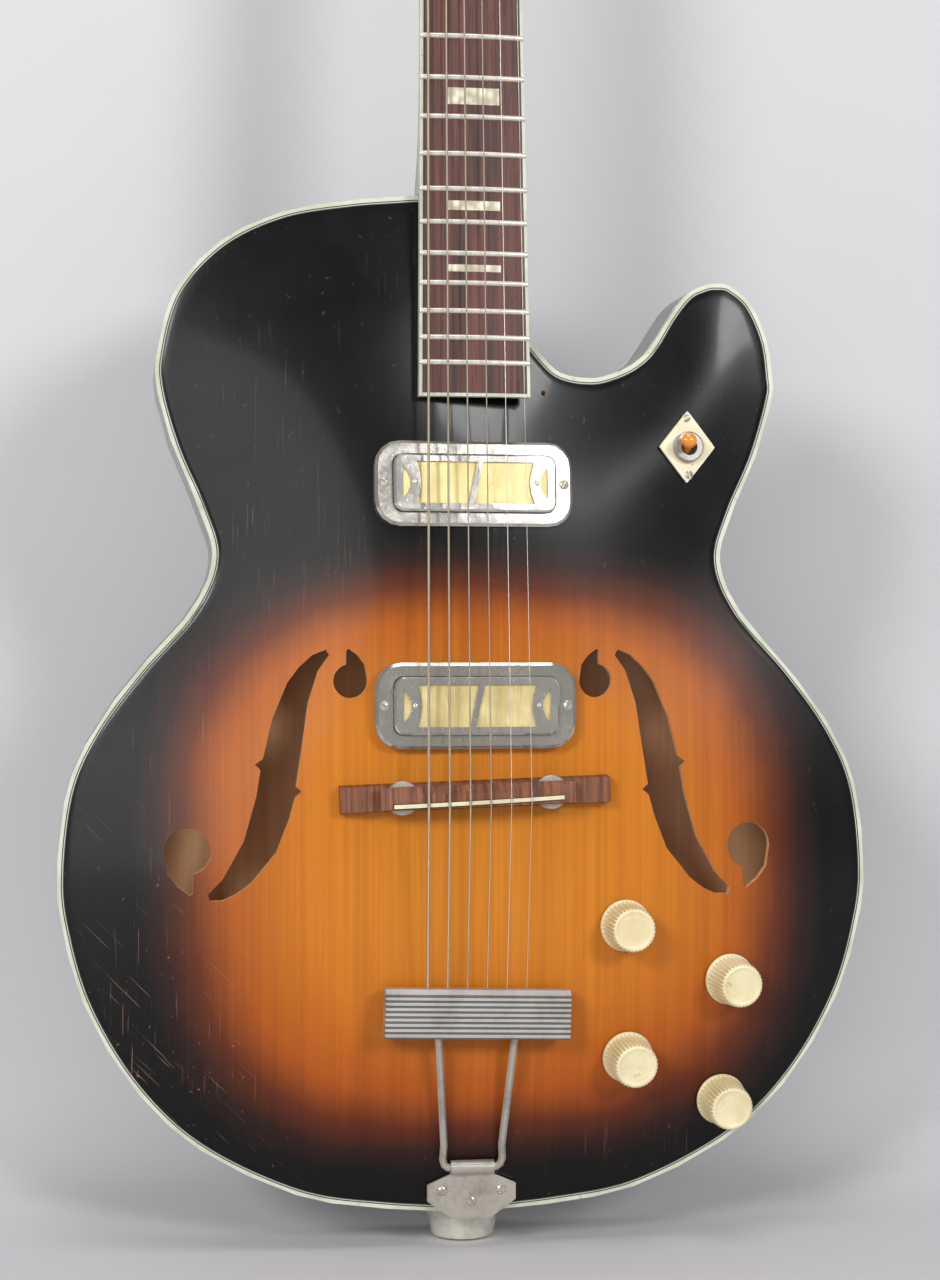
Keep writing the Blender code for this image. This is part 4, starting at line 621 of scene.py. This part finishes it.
def screw_head(radius, height=0.45, slot=True):
    """An oval head with a slot across it."""
    rings, count = [], 28
    profile = ((1.0, 0.0), (1.0, 0.12), (0.93, 0.45), (0.78, 0.72), (0.55, 0.92), (0.3, 1.0), (0.1, 1.02))
    for share, level in profile:
        loop = []
        for i in range(count):
            a = 2 * math.pi * i / count
            x, y = share * radius * math.cos(a), share * radius * math.sin(a)
            deep = slot and abs(y) < 0.16 * radius and level > 0.1
            loop.append((x, y, radius * height * (0.3 if deep else level)))
        rings.append(loop)
    return skin(rings)


# Body trim: the binding's layers round the top, and the same round the back


def edge_strip(name, start, end, low, high, face, look):
    """A thin strip round the body between two insets, from low to high in front of the rim plane."""
    outer, inner = inset(OUTLINE, start), inset(OUTLINE, end)
    loops = [[(x, face * (HALF_DEPTH + level), z) for x, z in line]
             for line, level in ((outer, low), (outer, high), (inner, high), (inner, low))]
    vertices = [p for loop in loops for p in loop]
    count = len(outer)
    faces = []
    for k in range(4):
        here, there = k * count, (k + 1) % 4 * count
        for j in range(count):
            after = (j + 1) % count
            faces.append((here + j, here + after, there + after, there + j))
    return piece(name, vertices, faces, look)


for face, word in ((-1, "top"), (1, "back")):
    edge_strip(f"{word}_ply_1", 2.0 * MM, 2.5 * MM, -1 * MM, 0.06 * MM, face, DARK_PLY)
    edge_strip(f"{word}_ply_2", 2.95 * MM, 3.4 * MM, -1 * MM, 0.2 * MM, face, DARK_PLY)

# The top again, skinned finely so that its gloss is smooth, with the same holes as the CAD


def closed_loop_cutter(name, outline):
    return cutter(name, skin([[(x, y, z) for x, z in outline] for y in (-60 * MM, -9 * MM)]))


def cutter(name, part):
    made = piece(name, *part, BARE, None)
    made.hide_render = True
    return made


def slot_outline(side):
    outer = [(71.5, 70.0), (77.9, 67.5), (84.4, 61.6), (89.9, 54.3), (97.2, 36.9), (101.8, 17.6),
             (105.6, 15.0), (102.9, 12.4), (105.0, -0.6), (110.9, -21.6), (120.9, -39.7), (127.9, -47.0)]
    inner = [(127.0, -50.2), (120.9, -50.0), (114.5, -47.1), (107.2, -41.7), (95.4, -27.2), (89.4, -11.7),
             (86.4, -1.0), (83.2, 1.9), (86.0, 4.4), (83.0, 24.0), (80.2, 44.1), (75.2, 59.7), (69.8, 67.4)]
    return [(-side * x * MM, SADDLE_Z + (up - 0.3) * MM) for x, up in outer + inner]


def comma_outline(side, centre, radius, flip):
    angles = [math.radians(-75 + 255 * i / 24) for i in range(25)]
    points = [(radius * math.cos(a), radius * math.sin(a)) for a in angles]
    tail = ((-0.86, -0.95), (-0.45, -1.5), (0.1, -1.9), (0.22, -1.8))
    points += [(x * radius, y * radius) for x, y in tail]
    return [(-side * (centre[0] * MM - flip * x), SADDLE_Z + centre[1] * MM + flip * y) for x, y in points]




def fine_plate(name, face, arch, thickness, look):
    """An arched plate within the binding, in close rings from its middle to its edge."""
    edge = inset(OUTLINE, PLATE_INSET)
    middle = np.array([0.0, FOOT + 0.485 * BODY_LENGTH])
    outer, inner = [], []
    for share in [i / 45 for i in range(1, 43)] + [0.955, 0.975, 0.99, 1.0]:
        for x, z in middle + share * (edge - middle):
            level = HALF_DEPTH + (top_rise(x, z) * arch / TOP_ARCH if share < 1 else 0.0)
            outer.append((x, face * level, z))
            inner.append((x, face * (level - thickness), z))
    count, rows = len(edge), len(outer) // len(edge)
    crown = HALF_DEPTH + top_rise(*middle) * arch / TOP_ARCH
    tips = [(middle[0], face * (crown - d), middle[1]) for d in (0.0, thickness)]
    shift, tip = len(outer), 2 * len(outer)
    faces = []
    for j in range(count):
        k = (j + 1) % count
        faces += [(tip, j, k), (tip + 1, shift + k, shift + j)]
        for row in range(rows - 1):
            low, high = row * count, (row + 1) * count
            faces += [(low + j, high + j, high + k, low + k),
                      (shift + low + k, shift + high + k, shift + high + j, shift + low + j)]
        last = (rows - 1) * count
        faces.append((last + j, shift + last + j, shift + last + k, last + k))
    return piece(name, [*outer, *inner, *tips], faces, look, "guitar", 45)


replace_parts(fine_plate("arched_back", 1, BACK_ARCH, BACK_THICKNESS, BACK), "back_plate")
top = fine_plate("arched_top", -1, TOP_ARCH, TOP_THICKNESS, TOP)
cutters = []
for side in (1, -1):
    cutters.append(closed_loop_cutter(f"slot cutter {side}", slot_outline(side)))
    low = comma_outline(side, (137.5, -26.7), 11.1 * MM, 1)
    high = comma_outline(side, (59.9, 54.6), 8.2 * MM, -1)
    cutters.append(closed_loop_cutter(f"low comma cutter {side}", low))
    cutters.append(closed_loop_cutter(f"high comma cutter {side}", high))
for (x, height), radius in [*((place, 4.3) for place in KNOBS), (SWITCH, 5.5), (GUARD_SCREW, 1.4)]:
    drill = lathe([(radius * MM, -14 * MM), (radius * MM, 8 * MM)], 24)
    cutters.append(cutter(f"drill {x:g}", placed(drill, surface_frame(x * MM, height * MM))))
for tool in cutters:
    hole = top.modifiers.new("hole", "BOOLEAN")
    hole.operation = "DIFFERENCE"
    hole.solver = "EXACT"
    hole.object = tool
bpy.context.view_layer.update()
finished = bpy.data.meshes.new_from_object(top.evaluated_get(bpy.context.evaluated_depsgraph_get()))
top.modifiers.clear()
top.data = finished
finished.set_sharp_from_angle(angle=math.radians(40))
for tool in cutters:
    bpy.data.objects.remove(tool, do_unlink=True)
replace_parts(top, "top_plate")

# Board trim: frets, side binding and pearl blocks

parts = []
for number in range(1, FRETS + 1):
    z = fret_z(number)
    half = board_half_width(z) + 0.08 * MM
    loops = []
    for x in (half, *(0.985 * half * (1 - i / 6) for i in range(13)), -half):
        surface = -HALF_DEPTH - board_rise(z, x)
        end = 0.92 if abs(x) == half else 1.0
        loops.append([(x, surface - 1.18 * MM * end * math.sin(a), z + 1.3 * MM * math.cos(a))
                      for a in (math.pi * j / 8 for j in range(9))])
    parts.append(skin(loops))
piece("fret_wires", *gather(parts), FRET_METAL)

for side, word in ((-1, "bass"), (1, "treble")):
    for layer, (start, end, look) in enumerate(((0.0, 1.5, BINDING), (1.5, 2.0, DARK_PLY)), 1):
        loops = []
        for i in range(25):
            z = BOARD_END_Z + (NUT_Z - BOARD_END_Z) * i / 24
            edge = board_half_width(z) + 0.06 * MM
            xs = (edge - start * MM, edge - end * MM)
            top = [(side * x, -HALF_DEPTH - board_rise(z, x) - 0.05 * MM, z) for x in xs]
            depth = 6 * MM if layer == 1 else 1 * MM
            loops.append([*top, *((x, y + depth, z) for x, y, _ in reversed(top))])
        piece(f"board_{word}_layer_{layer}", *skin(loops), look)
edge = board_half_width(BOARD_END_Z)
loops = []
for i in range(13):
    x = edge * (1 - 2 * i / 12)
    y = -HALF_DEPTH - board_rise(BOARD_END_Z, x) - 0.05 * MM
    low, high = BOARD_END_Z - 0.3 * MM, BOARD_END_Z + 1.3 * MM
    loops.append([(x, y, low), (x, y, high), (x, y + 6 * MM, high), (x, y + 6 * MM, low)])
piece("board_end_layer", *skin(loops), BINDING)

# The fret above each block, its half width and its length along the board
BLOCKS = [(3, 15, 12), (5, 14.5, 11), (7, 14, 10), (9, 13.5, 9), (12, 13, 8.2), (15, 13, 4.6), (17, 13, 3.4)]
parts = []
for number, half, length in BLOCKS:
    z = (fret_z(number) + fret_z(number - 1)) / 2
    if number == 12:
        z = FOOT + 542.8 * MM
    loops = []
    for i in range(9):
        x = half * MM * (1 - 2 * i / 8)
        y = -HALF_DEPTH - board_rise(z, x)
        low, high = z - length * MM / 2, z + length * MM / 2
        fall, face = length * MM / 2 * math.tan(NECK_ANGLE), y - 0.1 * MM
        loops.append([(x, face - fall, low), (x, face + fall, high),
                      (x, y + 1 * MM, high), (x, y + 1 * MM, low)])
    parts.append(skin(loops))
piece("pearl_blocks", *gather(parts), PEARL)

# Knobs: tapered barrels with fine ribs on a plain skirt

# Radius, height and depth of the ribs at each level of a knob, in millimetres
KNOB_PROFILE = [
    (3.4, 0.0, 0), (12.0, 0.0, 0), (12.6, 0.3, 0), (12.6, 1.0, 0), (12.2, 1.5, 0), (11.95, 1.8, 0.3),
    (11.9, 2.4, 1.2), (11.5, 8.0, 1.3), (11.05, 14.0, 1.3), (10.9, 16.2, 1.2), (10.7, 16.9, 0.6),
    (10.3, 17.5, 0.2), (9.7, 17.9, 0), (8.8, 18.0, 0), (8.4, 17.7, 0), (7.6, 17.5, 0), (4.0, 17.45, 0),
    (0.4, 17.4, 0),
]
KNOB_RIBS = 34
for number, (x, height) in enumerate(KNOBS, 1):
    rings = []
    for radius, level, rib in KNOB_PROFILE:
        loop = []
        for i in range(8 * KNOB_RIBS):
            a = 2 * math.pi * i / (8 * KNOB_RIBS)
            r = radius - rib * (0.5 + 0.5 * math.cos(a * KNOB_RIBS)) ** 1.5
            loop.append((r * MM * math.cos(a), r * MM * math.sin(a), level * MM))
        rings.append(loop)
    knob = placed(skin(rings), surface_frame(x * MM, height * MM, 1.2 * MM))
    knob = piece(f"ribbed_knob_{number}", *knob, IVORY, f"knob_{number}_dial", 50)
    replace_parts(knob, f"knob_{number}")

# Pickup screws and rivets

for word, height, ring in (("neck", 354.3, 3.0), ("bridge", 247.4, 7.0)):
    place = surface_frame(0.0, height * MM)
    heads, rivets = [], []
    for side in (-1, 1):
        at_screw = place @ Matrix.Translation((side * 44.4 * MM, 0, (ring - 0.3) * MM))
        heads.append(placed(screw_head(2.6 * MM, 0.5), at_screw @ Matrix.Rotation(0.7 * side + 0.4, 4, "Z")))
        at_rivet = place @ Matrix.Translation((side * 30.0 * MM, 0, (ring + 3.2) * MM))
        rivets.append(placed(screw_head(1.5 * MM, 0.5, False), at_rivet))
    piece(f"{word}_ring_screws", *gather(heads), SCREW)
    piece(f"{word}_cover_rivets", *gather(rivets), SCREW)

# Screws of the switch plate and of the tailpiece's bracket

heads = []
for x, height, turn in ((106.5, 388.2, 0.5), (108.0, 360.4, 1.9)):
    place = surface_frame(x * MM, height * MM, 1.7 * MM) @ Matrix.Rotation(turn, 4, "Z")
    heads.append(placed(screw_head(2.3 * MM), place))
piece("switch_plate_screws", *gather(heads), SCREW)
heads = [placed(screw_head(2.6 * MM), face_frame(x * MM, FOOT + z * MM, 5.2 * MM, turn))
         for x, z, turn in ((-14.5, 11.5, 0.3), (14.5, 11.5, 1.2), (0, 6.0, 2.2))]
piece("bracket_screws", *gather(heads), SCREW)

# Head trim: a plain cover over the rod's end, and plate screws

HEAD_PIVOT = Vector((0.0, -HALF_DEPTH - board_rise(NUT_Z) + 2.0 * MM, NUT_Z + 5 * MM))
HEAD_FRAME = Matrix.Translation(HEAD_PIVOT) @ Matrix.Rotation(math.pi / 2 - NECK_ANGLE - HEAD_ANGLE, 4, "X")
outline = [(10, 4), (11, 20), (8, 36), (3, 44), (-3, 44), (-8, 36), (-11, 20), (-10, 4)]
cover = skin([[(x * MM * k, (22 + (y - 22) * k) * MM, z * MM) for x, y in outline]
              for k, z in ((1, 0.0), (1, 1.2), (0.93, 1.7))])
piece("rod_cover", *placed(cover, HEAD_FRAME), DARK_PLY)
heads = [placed(screw_head(1.5 * MM), HEAD_FRAME @ Matrix.Translation((x * MM, y * MM, 1.5 * MM)))
         for x, y in ((-7, 8), (7, 8), (0, 39))]
for side in (-1, 1):
    for along in (26, 60, 101, 136):
        behind = HEAD_FRAME @ Matrix.Translation((side * 22 * MM, along * MM, -17.9 * MM))
        heads.append(placed(screw_head(1.7 * MM), behind @ Matrix.Rotation(math.pi, 4, "X")))
piece("head_screws", *gather(heads), SCREW)

# Strings, in spans from the tailpiece bar over the saddle and nut to their windings round the tuner posts

INCH = 25.4 * MM
DIAMETERS = [0.052 * INCH, 0.042 * INCH, 0.032 * INCH, 0.024 * INCH, 0.016 * INCH, 0.012 * INCH]
NUT_RISE = board_rise(NUT_Z) + 1.9 * MM
BAR_EDGE = FOOT + BAR_HEIGHT + 11.7 * MM
spans = {"tail": [], "behind": [], "main": [], "head": []}
span_thick = {key: [[], []] for key in spans}
for number, diameter in enumerate(DIAMETERS):
    radius = diameter / 2
    share = number / 5 - 0.5
    saddle_x, nut_x, tail_x = 49.5 * MM * share, 39.5 * MM * share, 48.0 * MM * share
    saddle_z = SADDLE_Z + math.tan(math.radians(2.8)) * saddle_x - 2.9 * MM
    tail_z = BAR_EDGE - math.tan(BAR_LEAN) * tail_x + 0.6 * MM
    tail = Vector((tail_x, -HALF_DEPTH - 24.5 * MM, tail_z))
    saddle = Vector((saddle_x, -HALF_DEPTH - 36 * MM + saddle_x**2 / (2 * BOARD_RADIUS), saddle_z))
    over_nut = Vector((nut_x, -HALF_DEPTH - NUT_RISE + nut_x**2 / (2 * BOARD_RADIUS), NUT_Z + 5.3 * MM))
    middle = tail.lerp(saddle, 0.5)
    side = -1 if number < 3 else 1
    along = (42 + 42 * (number if number < 3 else 5 - number)) * MM
    post = HEAD_FRAME @ Matrix.Translation((side * 22 * MM, along, 0))
    local = post.inverted() @ (over_nut + Vector((0, 0, 3 * MM)))
    reach = 3.1 * MM + 0.3 * MM + radius
    start = math.atan2(local.y, local.x) - side * math.acos(min(reach / math.hypot(local.x, local.y), 1.0))
    winding = []
    for i in range(29):
        angle = start - side * i / 28 * 2 * math.pi * 1.1
        level = 3.5 * MM + (2.6 * radius + 0.5 * MM) * 1.1 * (1 - i / 28) + radius
        winding.append(post @ Vector((reach * math.cos(angle), reach * math.sin(angle), level)))
    kind = 0 if number < 4 else 1
    span_thick["tail"][kind].append(tube([tail.lerp(middle, i / 6) for i in range(7)], radius))
    span_thick["behind"][kind].append(tube([middle.lerp(saddle, i / 6) for i in range(7)], radius))
    span_thick["main"][kind].append(tube([saddle.lerp(over_nut, i / 24) for i in range(25)], radius))
    span_thick["head"][kind].append(tube([over_nut, *winding], radius))
made = []
for key, kinds in span_thick.items():
    for parts, look, word in zip(kinds, (WOUND_STRING, PLAIN_STRING), ("wound", "plain")):
        obj = piece(f"{word}_strings_{key}", *gather(parts), look, "guitar" if key == "head" else None, 60)
        made.append((key, obj))
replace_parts(made[-1][1], *(f"string_{i}" for i in range(1, 7)))
for key, obj in made:
    if key == "tail":
        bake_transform(obj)
    elif key == "behind":
        SADDLE_Z - 6 * MM
        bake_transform(obj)
    elif key == "main":
        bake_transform(obj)

# Backdrop, floor and soft studio light

stage_look = Shader("pale backdrop", Roughness=0.9)
paper = stage_look.mix(stage_look.noise(3, 3, 3, 3), srgb(196, 195, 198), srgb(204, 203, 205))
away = stage_look.node("ShaderNodeNewGeometry", {}, [], "Backfacing")
stage_look.set(Base_Color=paper, Alpha=1 - away)
sweep = [(-2.5, -0.001), (0.02, -0.001), (0.09, 0.006), (0.13, 0.025), (0.15, 0.07), (0.155, 0.2),
         (0.16, 0.8), (0.165, 2.6)]
vertices = [(x, y, z) for y, z in sweep for x in (-3.0, 3.0)]
faces = [(2 * i, 2 * i + 1, 2 * i + 3, 2 * i + 2) for i in range(len(sweep) - 1)]
mesh = bpy.data.meshes.new("backdrop")
mesh.from_pydata(vertices, [], faces)
mesh.materials.append(stage_look.material)
mesh.shade_smooth()
backdrop = bpy.data.objects.new("backdrop", mesh)
bpy.context.scene.collection.objects.link(backdrop)


def area_light(name, place, target, size, power, colour=(1, 1, 1)):
    data = bpy.data.lights.new(name, "AREA")
    data.shape = "DISK"
    data.size = size
    data.energy = power
    data.color = colour
    light = bpy.data.objects.new(name, data)
    bpy.context.scene.collection.objects.link(light)
    light.location = place
    light.rotation_euler = (Vector(target) - Vector(place)).to_track_quat("-Z", "Y").to_euler()


area_light("key", (-1.4, -2.0, 1.2), (0, 0, 0.35), 0.7, 33)
area_light("fill", (1.05, -2.1, 1.1), (0, 0, 0.35), 0.6, 25)
area_light("near left", (-0.75, -2.3, 0.42), (0, 0, 0.3), 1.0, 8)
area_light("glow inside", (0.02, 0.0, 0.12), (0, 0.1, 0.12), 0.03, 0.035)
area_light("top", (0.0, -0.7, 2.2), (0, 0, 0.3), 1.0, 10)
world = bpy.data.worlds.new("world")
world.use_nodes = True
world.node_tree.nodes["Background"].inputs["Color"].default_value = (1.0, 0.99, 0.98, 1)
world.node_tree.nodes["Background"].inputs["Strength"].default_value = 0.22
bpy.context.scene.world = world
